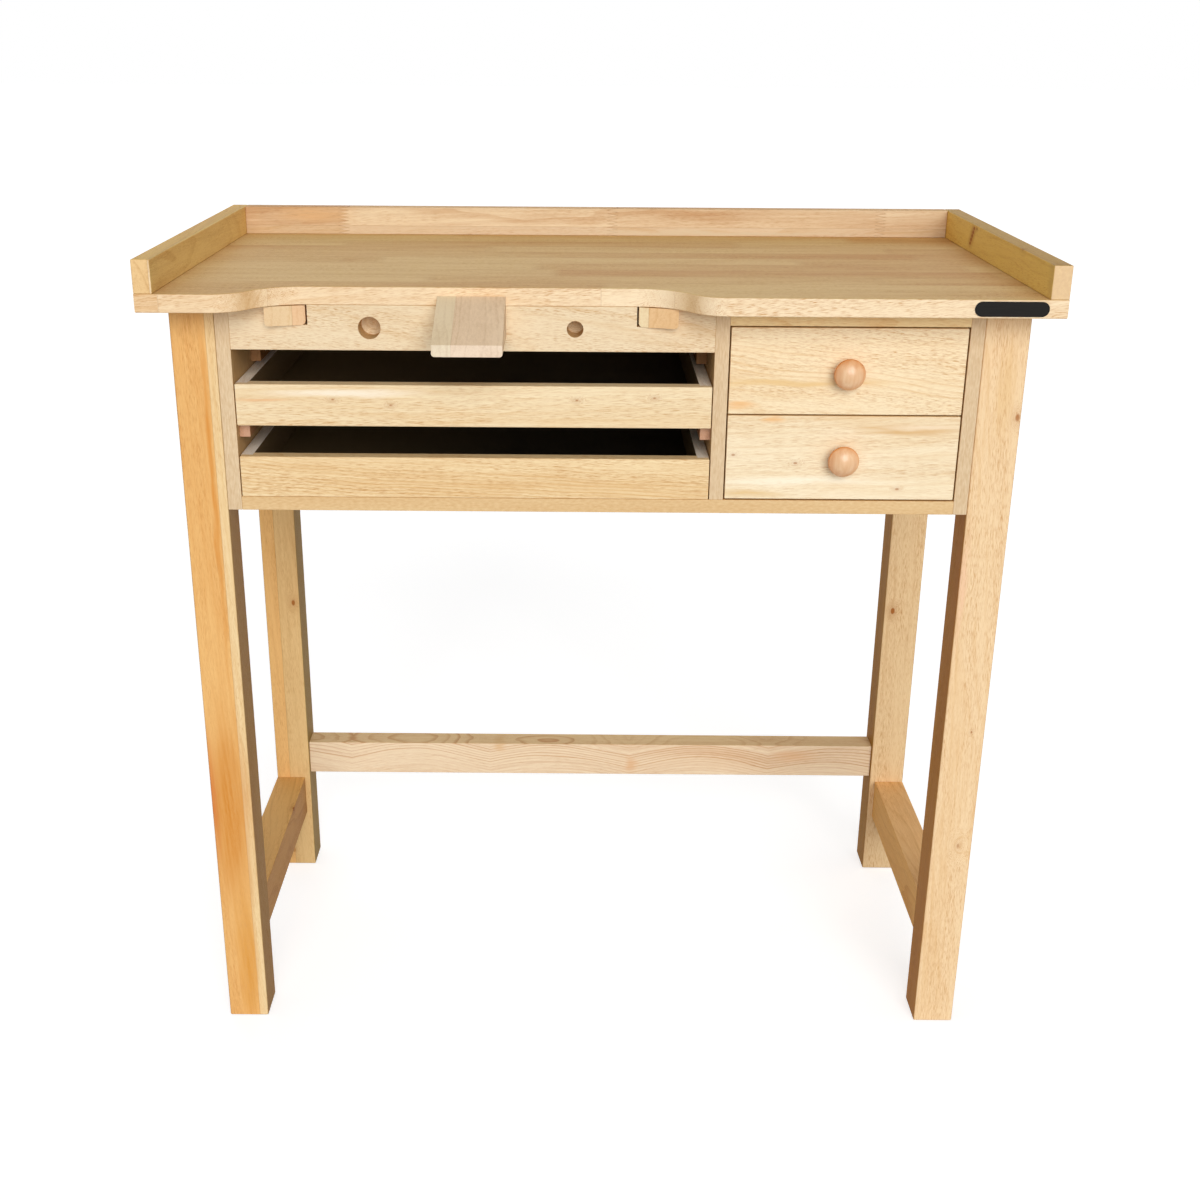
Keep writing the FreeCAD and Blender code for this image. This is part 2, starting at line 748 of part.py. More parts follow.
def make_rear_stretcher(dowels, bolts):
    nut_y = "rear_stretcher_centre - barrel_nut_length / 2"
    nut_x = "leg_inner - barrel_nut_inset"
    pattern = rod("barrel_nut_pattern", ("0", "0", "0"), "+Z", "barrel_nut_diameter", "barrel_nut_length")
    places = [((f"-({nut_x})", nut_y, "rear_stretcher_middle"), "+Y"),
              ((nut_x, nut_y, "rear_stretcher_middle"), "+Y")]
    solid_nuts = copies("solid_barrel_nuts", pattern, places)
    nut_holes = [
        rod(f"{side}_nut_hole", (x, nut_y, "rear_stretcher_middle"), "+Y", "barrel_nut_diameter",
            "rear_stretcher_thickness")
        for side, x in (("left", f"-({nut_x})"), ("right", nut_x))
    ]
    rail = board("rear_stretcher_blank", ("-leg_inner", "rear_stretcher_front", "rear_stretcher_bottom"),
                 ("2 * leg_inner", "rear_stretcher_thickness", "rear_stretcher_height"))
    node("rear_stretcher", without("rear_stretcher", rail, dowels, bolts, *nut_holes))
    node("barrel_nuts", without("barrel_nuts", solid_nuts, bolts))


# ---------------------------------------------------------------- cabinet
def make_cabinet(dowels, carcass, backs, runner_screws, leg_bolts, rear_screws, drawer_screws):
    upright = ("panel_thickness", "cabinet_depth", "cabinet_height")
    back = board("cabinet_back_blank", ("-bay_side - back_rebate", "bay_back", "cabinet_bottom"),
                 ("2 * (bay_side + back_rebate)", "back_thickness", "cabinet_height"), None)
    node("cabinet_back", without("cabinet_back", back, backs))
    for side, x in (("left", "-leg_inner"), ("right", "bay_side")):
        name = f"cabinet_{side}_panel"
        panel = board(f"{name}_blank", (x, "face", "cabinet_bottom"), upright, "fine_edge_round")
        node(name, without(name, panel, back, dowels, carcass, backs, runner_screws, leg_bolts))
    floor = board("cabinet_floor_blank", ("-bay_side", "face", "cabinet_bottom"),
                  ("2 * bay_side", "bay_depth", "panel_thickness"), "fine_edge_round")
    node("cabinet_floor", without("cabinet_floor", floor, carcass, backs))
    rail = board("rear_rail_blank", ("-bay_side", "rear_rail_front", "rear_rail_bottom"),
                 ("2 * bay_side", "rear_rail_thickness", "rear_rail_height"), None)
    bores = counterbores("rear_rail", rear_rail_screw_places(), "rear_rail_bottom")
    node("rear_rail", without("rear_rail", rail, dowels, backs, rear_screws, *bores))
    divider = board("cabinet_divider_blank", ("divider_left", "face", "bay_floor"),
                    ("panel_thickness", "bay_depth", "underside - bay_floor"), "fine_edge_round")
    node("cabinet_divider", without("cabinet_divider", divider, rail, dowels, carcass, backs, runner_screws))
    drawer_rail = board("drawer_rail_blank", ("divider_right", "face", "drawer_rail_bottom"),
                        ("drawer_bay_width", "drawer_rail_depth", "drawer_rail_thickness"),
                        "fine_edge_round")
    node("drawer_rail", without("drawer_rail", drawer_rail, dowels, drawer_screws))


def counterbores(name, places, bottom):
    """Wide holes from below that let short screws reach through a deep rail."""
    return [
        rod(f"{name}_counterbore_{number}", (at[0], at[1], bottom), "+Z", "counterbore_diameter",
            f"top_screw_head - ({bottom})")
        for number, (at, _) in enumerate(places, start=1)
    ]


def make_runners(screws):
    """Strips that carry the upper tray and drawer, and kickers that keep the tray level."""
    tray_sides = ("-bay_side", "divider_left - runner_width")
    drawer_sides = ("divider_right", "bay_side - runner_width")
    strips = (
        ("tray_runner", tray_sides, "tray_runner_setback", "tray_runner_bottom",
         "tray_runner_height"),
        ("tray_kicker", tray_sides, "kicker_setback", "kicker_bottom", "tray_runner_height"),
        ("drawer_runner", drawer_sides, "drawer_runner_start", "drawer_runner_bottom",
         "drawer_runner_height"),
    )
    for name, sides, setback, z, height in strips:
        pair = [
            board(f"{side}_{name}_blank", (x, f"face + {setback}", z),
                  ("runner_width", f"bay_depth - {setback}", height), "fine_edge_round")
            for side, x in zip(("left", "right"), sides)
        ]
        node(f"{name}s", without(f"{name}s", grouped(f"{name}_blanks", *pair), screws))


# ---------------------------------------------------------------- apron, armrests and pin
def slot_places():
    """Left corner and width of each armrest's slot: a close fit outside, a wider gap inside."""
    half = "armrest_spacing / 2"
    width = "armrest_width + armrest_fit + armrest_side_gap"
    left = f"cut_centre - {half} - armrest_width / 2 - armrest_fit"
    right = f"cut_centre + {half} - armrest_width / 2 - armrest_side_gap"
    return (("left", left, width), ("right", right, width))


def slot_cutters(name, front, thickness):
    return [
        block(f"{name}_{side}_slot", (x, front, "armrest_bottom"),
              (width, thickness, "underside - armrest_bottom"))
        for side, x, width in slot_places()
    ]


def mandrel_hole(size, x):
    mouth = "face + mandrel_depth"
    diameter = f"{size}_mandrel_diameter"
    return [
        rod(f"{size}_mandrel_bore", (x, mouth, "apron_middle"), "-Y", diameter, "mandrel_depth"),
        drill_tip(f"{size}_mandrel_tip", (x, mouth, "apron_middle"), "+Y", diameter),
    ]


def make_apron(dowels):
    blank = board("front_apron_blank", ("-bay_side", "face", "apron_bottom"),
                  ("tray_bay_width", "apron_thickness", "apron_height"), "fine_edge_round")
    mortise = block(
        "pin_mortise",
        ("cut_centre - pin_tenon_width / 2 - pin_fit", "face",
         "apron_middle - pin_tenon_height / 2 - pin_fit"),
        ("pin_tenon_width + 2 * pin_fit", "apron_thickness", "pin_tenon_height + 2 * pin_fit"))
    node("front_apron", without(
        "front_apron", blank, mortise, dowels,
        *slot_cutters("apron", "face", "apron_thickness"),
        *mandrel_hole("wide", "cut_centre - mandrel_spacing / 2"),
        *mandrel_hole("narrow", "cut_centre + mandrel_spacing / 2"),
    ))


def make_guide_rail(dowels, screws):
    """A cross rail behind the apron: the armrests slide through its two notches."""
    blank = board("armrest_guide_rail_blank", ("-bay_side", "guide_rail_front", "guide_rail_bottom"),
                  ("tray_bay_width", "guide_rail_thickness", "guide_rail_height"), None)
    node("armrest_guide_rail", without(
        "armrest_guide_rail", blank, dowels, screws,
        *slot_cutters("guide", "guide_rail_front", "guide_rail_thickness"),
        *counterbores("guide_rail", guide_rail_screw_places(), "guide_rail_bottom"),
    ))


def make_armrest(side):
    """A bar whose front end follows the cut-out, with a stop peg under its tail."""
    name = f"{side}_armrest"
    body, sketch = body_and_sketch(f"{name}_blank")
    if side == "left":
        centre = "cut_centre - armrest_spacing / 2"
        left_setback, right_setback = "0", "armrest_slant"
    else:
        centre = "cut_centre + armrest_spacing / 2"
        left_setback, right_setback = "armrest_slant", "0"
    back = "armrest_length + armrest_slant"
    closed_polygon(sketch, [
        ("0", left_setback), ("armrest_width", right_setback), ("armrest_width", back), ("0", back),
    ])
    pad = padded(body, sketch, "armrest_thickness")
    place(body, (f"{centre} - armrest_width / 2", "face - armrest_slant", "armrest_bottom"))
    doc.recompute()
    round_edges(body, pad, "armrest_corner_radius", lower_edges_along(pad))
    peg = rod(f"{side}_armrest_peg", (centre, "peg_place", "armrest_bottom - peg_stand"), "+Z",
              "peg_diameter", "peg_length")
    node(f"{side}_armrest_peg", peg)
    node(name, without(name, body, peg))


def make_pin():
    """A wedge that slopes down from the top's edge, with a tenon for the apron's mortise."""
    body, sketch = body_and_sketch("bench_pin_blank", "YZ_Plane")
    closed_polygon(sketch, [
        ("0", "0"), ("pin_length", "0"),
        ("pin_length", "pin_slope + pin_tip_thickness"), ("0", "pin_tip_thickness"),
    ])
    pad = padded(body, sketch, "pin_width")
    place(body, ("cut_centre - pin_width / 2", "face - pin_length", "pin_bottom"))
    doc.recompute()
    round_edges(body, pad, "pin_corner_radius", lower_edges_along(pad))
    tenon = block(
        "bench_pin_tenon",
        ("cut_centre - pin_tenon_width / 2", "face", "apron_middle - pin_tenon_height / 2"),
        ("pin_tenon_width", "apron_thickness", "pin_tenon_height"))
    node("bench_pin", joined("bench_pin_whole", body, tenon))


# ---------------------------------------------------------------- trays and drawers
def make_box(name, left, width, bottom, depth, front, side, floor, screws=()):
    """An open box on sides that lap into the front, with its floor let into grooves.

    front is (thickness, height, lift above the sides' lower edges), side is (thickness, height)
    and floor is the floor's thickness.
    """
    front_thickness, front_height, front_lift = front
    side_thickness, side_height = side
    inside = f"{width} - 2 * {side_thickness}"
    floor_panel = board(
        f"{name}_floor",
        (f"{left} + {side_thickness} - groove_depth", f"face + {front_thickness} - groove_depth",
         f"{bottom} + groove_lift"),
        (f"{inside} + 2 * groove_depth",
         f"{depth} - {front_thickness} - {side_thickness} + 2 * groove_depth", floor), None)
    node(f"{name}_floor", floor_panel)
    sides = []
    for hand, x in (("left", left), ("right", f"{left} + {width} - {side_thickness}")):
        label = f"{name}_{hand}_side"
        blank = board(f"{label}_blank", (x, f"face + {front_thickness} - corner_lap", bottom),
                      (side_thickness, f"{depth} - {front_thickness} + corner_lap", side_height),
                      "fine_edge_round")
        sides.append(blank)
        node(label, without(label, blank, floor_panel))
    back = board(f"{name}_back_blank",
                 (f"{left} + {side_thickness}", f"face + {depth} - {side_thickness}", bottom),
                 (inside, side_thickness, side_height), "fine_edge_round")
    node(f"{name}_back", without(f"{name}_back", back, floor_panel))
    face_board = board(f"{name}_front_blank", (left, "face", f"{bottom} + {front_lift}"),
                       (width, front_thickness, front_height))
    node(f"{name}_front", without(f"{name}_front", face_board, *sides, floor_panel, *screws))


def make_trays():
    for level, bottom in (("upper", "upper_tray_bottom"), ("lower", "bay_floor")):
        make_box(
            f"{level}_tray", "(tray_gap - bay_side)", "(tray_bay_width - 2 * tray_gap)", bottom,
            "tray_depth", ("tray_front_thickness", "tray_height", "0"),
            ("tray_side_thickness", "tray_height"), "tray_bottom_thickness")


def knob_pattern():
    """A turned mushroom knob standing along +Z: a neck, a hollow, a round rim and a domed crown.

    Neck, hollow, rim and crown run into each other tangentially, and a bore takes the screw.
    """
    body, sketch = body_and_sketch("knob_pattern", "XZ_Plane")
    bore, foot = guess("knob_screw_diameter / 2"), guess("knob_foot_diameter / 2")
    neck, length, deep = guess("knob_neck_height"), guess("knob_length"), guess("knob_bore_depth")
    shoulder, rim, crown = guess("knob_shoulder"), guess("knob_rim_radius"), guess("knob_crown_radius")
    hollow = shoulder - foot
    join = math.atan2(neck + rim - length + crown, shoulder)
    sketch.addGeometry([
        Part.LineSegment(point(bore, 0), point(foot, 0)),
        Part.LineSegment(point(foot, 0), point(foot, neck - hollow)),
        arc(shoulder, neck - hollow, hollow, math.pi / 2, math.pi),
        arc(shoulder, neck + rim, rim, -math.pi / 2, join),
        arc(0, length - crown, crown, join, math.pi / 2),
        Part.LineSegment(point(0, length), point(0, deep)),
        Part.LineSegment(point(0, deep), point(bore, deep)),
        Part.LineSegment(point(bore, deep), point(bore, 0)),
    ], False)
    for touch in ((0, 2, 1, 1), (4, 2, 5, 1), (5, 2, 6, 1), (6, 2, 7, 1), (7, 2, 0, 1)):
        sketch.addConstraint(Sketcher.Constraint("Coincident", *touch))
    for touch in ((1, 2, 2, 2), (2, 1, 3, 1), (3, 2, 4, 1)):
        sketch.addConstraint(Sketcher.Constraint("Tangent", *touch))
    for line, end, axis in ((0, 1, -1), (0, 2, -1), (5, 1, -2), (5, 2, -2), (4, 3, -2)):
        sketch.addConstraint(Sketcher.Constraint("PointOnObject", line, end, axis))
    sketch.addConstraint(Sketcher.Constraint("Vertical", 1))
    sketch.addConstraint(Sketcher.Constraint("Horizontal", 6))
    sketch.addConstraint(Sketcher.Constraint("Vertical", 7))
    sketch.addConstraint(Sketcher.Constraint("Vertical", 2, 3, 3, 3))
    dimension(sketch, "bore", "DistanceX", -1, 1, 0, 1, "knob_screw_diameter / 2")
    dimension(sketch, "foot", "DistanceX", -1, 1, 0, 2, "knob_foot_diameter / 2")
    dimension(sketch, "shoulder", "DistanceX", -1, 1, 3, 3, "knob_shoulder")
    dimension(sketch, "rim_height", "DistanceY", -1, 1, 3, 3, "knob_neck_height + knob_rim_radius")
    dimension(sketch, "rim", "Radius", 3, "knob_rim_radius")
    dimension(sketch, "length", "DistanceY", -1, 1, 5, 1, "knob_length")
    dimension(sketch, "bore_depth", "DistanceY", -1, 1, 5, 2, "knob_bore_depth")
    turn(body, sketch)
    return body


def knob_screw_pattern():
    """A pan-head screw whose shank runs along +Z and whose head is below the origin."""
    shank, head = "knob_screw_diameter / 2", "knob_screw_head / 2"
    return turned("knob_screw_pattern", [
        ("0", "0"),
        (head, "0"),
        (head, "knob_screw_head_height"),
        (shank, "knob_screw_head_height"),
        (shank, "knob_screw_head_height + knob_screw_length"),
        ("0", "knob_screw_head_height + knob_screw_length"),
    ])


def make_drawers():
    knob = knob_pattern()
    screw = knob_screw_pattern()
    middle = "(divider_right + bay_side) / 2"
    for level, bottom in (("upper", "upper_drawer_bottom"), ("lower", "bay_floor")):
        name = f"{level}_drawer"
        height = f"{bottom} + drawer_gap + drawer_front_height / 2"
        screws = copies(f"{name}_knob_screw", screw, [
            ((middle, "face + drawer_front_thickness + knob_screw_head_height", height), "-Y")])
        node(f"{name}_knob_screw", screws)
        node(f"{name}_knob", copies(f"{name}_knob", knob, [((middle, "face", height), "-Y")]))
        make_drawer(name, bottom, screws)


def make_drawer(name, bottom, screws):
    """A drawer whose front stands a gap above the level that its sides run on."""
    left, width = "(divider_right + drawer_gap)", "(drawer_bay_width - 2 * drawer_gap)"
    make_box(
        name, left, width, bottom, "drawer_depth",
        ("drawer_front_thickness", "drawer_front_height", "drawer_gap"),
        ("drawer_side_thickness", "drawer_side_height"), "drawer_bottom_thickness", [screws])


# ---------------------------------------------------------------- build
def build():
    dowels = node("dowels", copies("dowels", plain_dowel("dowel_pattern"), dowel_places()))

    lip_screw = countersunk_screw("lip_screw_pattern", "wood_screw_diameter", "wood_screw_head",
                                  "lip_screw_length")
    lip_screws = copies("lip_screws", lip_screw, lip_screw_places())

    top_screw = countersunk_screw("top_screw_pattern", "wood_screw_diameter", "wood_screw_head",
                                  "top_screw_length")
    guide_screws = copies("guide_rail_screws", top_screw, guide_rail_screw_places())
    rear_screws = copies("rear_rail_screws", top_screw, rear_rail_screw_places())
    drawer_screws = copies("drawer_rail_screws", top_screw, drawer_rail_screw_places())
    wood_screws = [lip_screws, guide_screws, rear_screws, drawer_screws]
    node("wood_screws", grouped("wood_screws", *wood_screws))

    carcass_screw = countersunk_screw("carcass_screw_pattern", "carcass_screw_diameter",
                                      "carcass_screw_head", "carcass_screw_length")
    carcass = node("carcass_screws", copies("carcass_screws", carcass_screw, carcass_screw_places()))

    back_screw = countersunk_screw("back_screw_pattern", "small_screw_diameter", "small_screw_head",
                                   "back_screw_length")
    backs = copies("back_screws", back_screw, back_screw_places())

    runner_screw = countersunk_screw("runner_screw_pattern", "small_screw_diameter",
                                     "small_screw_head", "runner_screw_length")
    runner_screws = copies("runner_screws", runner_screw, runner_screw_places())
    node("small_screws", grouped("small_screws", backs, runner_screws))

    leg_bolts = copies("leg_bolts", flat_bolt("leg_bolt_pattern", "leg_bolt_length"),
                       leg_bolt_places("bay_side"))
    insert = rod("insert_pattern", ("0", "0", "0"), "+Z", "insert_diameter", "insert_length")
    solid_inserts = copies("solid_inserts", insert, leg_bolt_places("leg_inner"))
    node("leg_inserts", without("leg_inserts", solid_inserts, leg_bolts))

    stretcher_bolt = flat_bolt("stretcher_bolt_pattern", "leg_side + stretcher_bolt_bite")
    stretcher_bolts = copies(
        "stretcher_bolts", stretcher_bolt,
        mirrored_ends("leg_outer", "rear_stretcher_centre", "rear_stretcher_middle"))
    node("connector_bolts", grouped("connector_bolts", leg_bolts, stretcher_bolts))

    make_top(wood_screws)
    make_lips(lip_screws)
    make_plate()
    make_legs(make_side_stretchers(), solid_inserts, dowels, stretcher_bolts)
    make_rear_stretcher(dowels, stretcher_bolts)
    make_cabinet(dowels, carcass, backs, runner_screws, leg_bolts, rear_screws, drawer_screws)
    make_runners(runner_screws)
    make_apron(dowels)
    make_guide_rail(dowels, guide_screws)
    for side in ("left", "right"):
        make_armrest(side)
    make_pin()
    make_trays()
    make_drawers()
    doc.recompute()


def check_and_write():
    """Refuse a failed object or a bad shape, then write one file for each piece."""
    for thing in doc.Objects:
        if "Invalid" in thing.State or "Error" in thing.State:
            raise RuntimeError(f"{thing.Label} did not build: {thing.State}")
    for piece in nodes:
        if piece.Shape.isNull() or not piece.Shape.isValid() or not piece.Shape.Solids:
            raise RuntimeError(f"{piece.Label} has no valid solid")
    os.makedirs("parts", exist_ok=True)
    for piece in nodes:
        piece.Shape.exportStep(f"parts/{piece.Label}.step")


sizes = fill_sheet()
build()
check_and_write()
print(len(nodes), "pieces written")
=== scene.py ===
"""The finish of a jewelers bench in clear-lacquered rubberwood, put on its frame. All lengths are metres."""
import json
from math import pi, radians

import bmesh
import bpy
from mathutils import Matrix, Vector


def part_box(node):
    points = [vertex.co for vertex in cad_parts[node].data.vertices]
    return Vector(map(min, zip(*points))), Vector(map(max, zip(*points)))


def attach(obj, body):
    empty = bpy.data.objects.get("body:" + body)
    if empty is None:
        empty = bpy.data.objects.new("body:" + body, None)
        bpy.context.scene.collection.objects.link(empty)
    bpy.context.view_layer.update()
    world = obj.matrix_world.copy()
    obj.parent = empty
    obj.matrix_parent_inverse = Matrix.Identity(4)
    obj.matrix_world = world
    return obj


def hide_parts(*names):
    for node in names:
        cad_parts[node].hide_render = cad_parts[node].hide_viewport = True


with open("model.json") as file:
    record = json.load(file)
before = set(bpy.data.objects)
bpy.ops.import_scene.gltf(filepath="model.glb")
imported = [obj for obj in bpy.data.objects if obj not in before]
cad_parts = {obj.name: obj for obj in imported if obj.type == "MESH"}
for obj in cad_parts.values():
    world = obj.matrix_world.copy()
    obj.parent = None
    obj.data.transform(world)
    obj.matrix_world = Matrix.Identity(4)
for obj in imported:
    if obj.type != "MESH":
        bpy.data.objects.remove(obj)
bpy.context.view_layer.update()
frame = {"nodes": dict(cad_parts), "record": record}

MM = 0.001
NODES = frame["nodes"]
BODY_OF = {node: body for body, nodes in frame["record"]["behaviour"]["bodies"].items() for node in nodes}


# -------------------- small helpers


def linear(code):
    """An sRGB hex colour as the linear RGBA that shaders take."""
    channels = [int(code[i:i + 2], 16) / 255 for i in (0, 2, 4)]
    return (*(c / 12.92 if c <= 0.04045 else ((c + 0.055) / 1.055) ** 2.4 for c in channels), 1.0)


def link(tree, source, socket):
    """Feeds a socket from another socket, or from a node's first output."""
    if isinstance(source, bpy.types.Node):
        source = next(output for output in source.outputs if output.enabled)
    tree.links.new(source, socket)


def add(tree, kind, inputs=None, **settings):
    """Adds a node. inputs maps a socket's name or number to a value, a socket or a node."""
    node = tree.nodes.new(kind)
    for name, value in settings.items():
        setattr(node, name, value)
    for key, value in (inputs or {}).items():
        if isinstance(key, int):
            socket = node.inputs[key]
        else:
            socket = next(s for s in node.inputs if s.name == key and s.enabled)
        if isinstance(value, (bpy.types.Node, bpy.types.NodeSocket)):
            link(tree, value, socket)
        else:
            socket.default_value = value
    return node


def new_group(name, kind, inputs, outputs):
    """An empty node group with named sockets: (tree, its input node, its output node)."""
    tree = bpy.data.node_groups.new(name, kind)
    for in_out, sockets in (("INPUT", inputs), ("OUTPUT", outputs)):
        for socket_name, socket_type in sockets.items():
            tree.interface.new_socket(socket_name, in_out=in_out, socket_type="NodeSocket" + socket_type)
    return tree, tree.nodes.new("NodeGroupInput"), tree.nodes.new("NodeGroupOutput")


def new_material(name):
    """An empty material: (material, its tree, its Principled shader)."""
    material = bpy.data.materials.new(name)
    material.use_nodes = True
    tree = material.node_tree
    return material, tree, tree.nodes["Principled BSDF"]


def new_object(name, data):
    """A new object of the scene, at the origin."""
    made = bpy.data.objects.new(name, data)
    bpy.context.collection.objects.link(made)
    return made


def paint(material, *nodes):
    """Gives the material to CAD nodes."""
    for node in nodes:
        mesh = NODES[node].data
        mesh.materials.clear()
        mesh.materials.append(material)


# -------------------- wood

PLAIN_SIDE_SHADE = "EEDCBC"  # the usual painted shade on edges and sides: a warm darker tint for the shade there
APART = 7.3  # metres along the grain between the places that two boards are cut from
PAINTED_WALL_SHADE = "7C6444"  # painted shade: dark brown on the trays' inner walls, for the shade under the apron


def noise(tree, place, repeats, detail=1.0):
    """Noise that repeats about so many times a metre along, across and through the board."""
    stretched = add(tree, "ShaderNodeVectorMath", {0: place, 1: repeats}, operation="MULTIPLY")
    return add(tree, "ShaderNodeTexNoise", {"Vector": stretched, "Scale": 1.0, "Detail": detail})


def make_figure_group():
    """Wood in the round, with its grain along X and its pith on the X axis.

    All of it is solid, so the faces, edges and ends of a board agree where they meet.
    Rings: growth rings, 0 in early wood to 1 in late wood. Pores: the open vessels, cut lengthwise into
    short dashes. Fibre and Drift: fine streaks and slow changes of tone, both about 0.
    """
    # How often each pattern repeats in a metre, along, across and through the board.
    bends, ripples, fibres, drifts = (3, 9, 9), (14, 90, 90), (5, 330, 330), (1.8, 22, 22)
    # Real pores are about 0.2 mm wide. They are drawn 0.5 mm wide and 11 mm long, so that they show.
    vessels, crowds = (90, 1900, 1900), (4, 60, 60)
    bend_size, taper = 45 * MM, 0.022
    ripple_size, late_start, late_end = 0.5, 0.45, 0.95  # shares of a ring
    tree, given, result = new_group(
        "wood_figure", "ShaderNodeTree",
        {"Place": "Vector", "Spacing": "Float"},
        {"Rings": "Float", "Pores": "Float", "Fibre": "Float", "Drift": "Float"},
    )
    place = given.outputs["Place"]
    bend = add(tree, "ShaderNodeVectorMath",
               {0: noise(tree, place, bends, 2.0).outputs["Color"], 1: (0.5, 0.5, 0.5)},
               operation="SUBTRACT")
    bent = add(tree, "ShaderNodeVectorMath", {0: bend, 1: (0, bend_size, bend_size), 2: place},
               operation="MULTIPLY_ADD")
    across = add(tree, "ShaderNodeVectorMath", {0: bent, 1: (0, 1, 1)}, operation="MULTIPLY")
    radius = add(tree, "ShaderNodeVectorMath", {0: across}, operation="LENGTH")
    along = add(tree, "ShaderNodeSeparateXYZ", {0: bent})
    tapered = add(tree, "ShaderNodeMath", {0: along.outputs["X"], 1: taper, 2: radius.outputs["Value"]},
                  operation="MULTIPLY_ADD")
    ring = add(tree, "ShaderNodeMath", {0: tapered, 1: given.outputs["Spacing"]}, operation="DIVIDE")
    wavy = add(tree, "ShaderNodeMath", {0: noise(tree, place, ripples), 1: ripple_size, 2: ring},
               operation="MULTIPLY_ADD")
    step = add(tree, "ShaderNodeMath", {0: wavy}, operation="FRACT")
    number = add(tree, "ShaderNodeMath", {0: wavy}, operation="FLOOR")
    strength = add(tree, "ShaderNodeTexWhiteNoise", {"W": number}, noise_dimensions="1D")
    rise = add(tree, "ShaderNodeMapRange", {"Value": step, "From Min": late_start, "From Max": late_end},
               interpolation_type="SMOOTHERSTEP")
    fall = add(tree, "ShaderNodeMapRange", {"Value": step, "From Min": 1.0, "From Max": late_end},
               interpolation_type="SMOOTHSTEP")
    late = add(tree, "ShaderNodeMath", {0: rise, 1: fall}, operation="MULTIPLY")
    rings = add(tree, "ShaderNodeMath", {0: late, 1: strength.outputs["Value"]}, operation="MULTIPLY")

    dashes = add(tree, "ShaderNodeMapRange",
                 {"Value": noise(tree, place, vessels, 2.0), "From Min": 0.48, "From Max": 0.7})
    crowding = add(tree, "ShaderNodeMapRange", {"Value": noise(tree, place, crowds, 2.0),
                                                "From Min": 0.36, "From Max": 0.64, "To Min": 0.35})
    pores = add(tree, "ShaderNodeMath", {0: dashes, 1: crowding}, operation="MULTIPLY")

    fibre = add(tree, "ShaderNodeMath", {0: noise(tree, place, fibres, 3.0), 1: 0.5}, operation="SUBTRACT")
    drift = add(tree, "ShaderNodeMath", {0: noise(tree, place, drifts, 2.0), 1: 0.5}, operation="SUBTRACT")
    for name, value in {"Rings": rings, "Pores": pores, "Fibre": fibre, "Drift": drift}.items():
        link(tree, value, result.inputs[name])
    return tree


def make_board_group(figure):
    """The colour and relief of a planed rubberwood board, from its figure: straw, flecked with brown pores.

    Tone is added to the mix of the pale and the dark colour, and Line draws a thin glue line. Ringed and
    Pored are how plainly the rings and the pores show.
    """
    drift_weight, fibre_weight, line_weight = 1.3, 1.0, 0.45
    pore_brown, glue_brown = linear("CEA26A"), linear("A87B4A")
    tree, given, result = new_group(
        "planed_rubberwood", "ShaderNodeTree",
        {"Place": "Vector", "Spacing": "Float", "Pale": "Color", "Dark": "Color", "Tone": "Float",
         "Line": "Float", "Ringed": "Float", "Pored": "Float"},
        {"Colour": "Color", "Height": "Float"},
    )
    wood = add(tree, "ShaderNodeGroup", {name: given.outputs[name] for name in ("Place", "Spacing")},
               node_tree=figure)
    tone = given.outputs["Tone"]
    weights = {"Rings": given.outputs["Ringed"], "Drift": drift_weight, "Fibre": fibre_weight}
    for name, weight in weights.items():
        tone = add(tree, "ShaderNodeMath", {0: wood.outputs[name], 1: weight, 2: tone},
                   operation="MULTIPLY_ADD")
    base = add(tree, "ShaderNodeMix",
               {"Factor": tone, "A": given.outputs["Pale"], "B": given.outputs["Dark"]},
               data_type="RGBA", clamp_factor=True)
    pore_depth = add(tree, "ShaderNodeMath", {0: wood.outputs["Pores"], 1: given.outputs["Pored"]},
                     operation="MULTIPLY")
    pored = add(tree, "ShaderNodeMix", {"Factor": pore_depth, "A": base, "B": pore_brown},
                data_type="RGBA", blend_type="MULTIPLY")
    line_depth = add(tree, "ShaderNodeMath", {0: given.outputs["Line"], 1: line_weight},
                     operation="MULTIPLY")
    glue_line_and_wall_shade = add(tree, "ShaderNodeMix", {"Factor": line_depth, "A": pored, "B": glue_brown},
                data_type="RGBA", blend_type="MULTIPLY")
    relief = add(tree, "ShaderNodeMath", {0: wood.outputs["Pores"], 1: -1.0, 2: wood.outputs["Fibre"]},
                 operation="MULTIPLY_ADD")
    link(tree, glue_line_and_wall_shade, result.inputs["Colour"])
    link(tree, relief, result.inputs["Height"])
    return tree


FIGURE = make_figure_group()
PLANED = make_board_group(FIGURE)
AXES = {"X": "XYZ", "Y": "YXZ", "Z": "ZXY"}  # which object axes run along, across and through a board


def board_space(tree, node, grain):
    """Object coordinates measured from the node's middle, with its grain turned to X."""
    low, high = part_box(node)
    coordinates = add(tree, "ShaderNodeTexCoord")
    centred = add(tree, "ShaderNodeVectorMath",
                  {0: coordinates.outputs["Object"], 1: tuple((low + high) / 2)}, operation="SUBTRACT")
    parts = add(tree, "ShaderNodeSeparateXYZ", {0: centred})
    turned = {i: parts.outputs[axis] for i, axis in enumerate(AXES[grain])}
    return add(tree, "ShaderNodeCombineXYZ", turned), coordinates


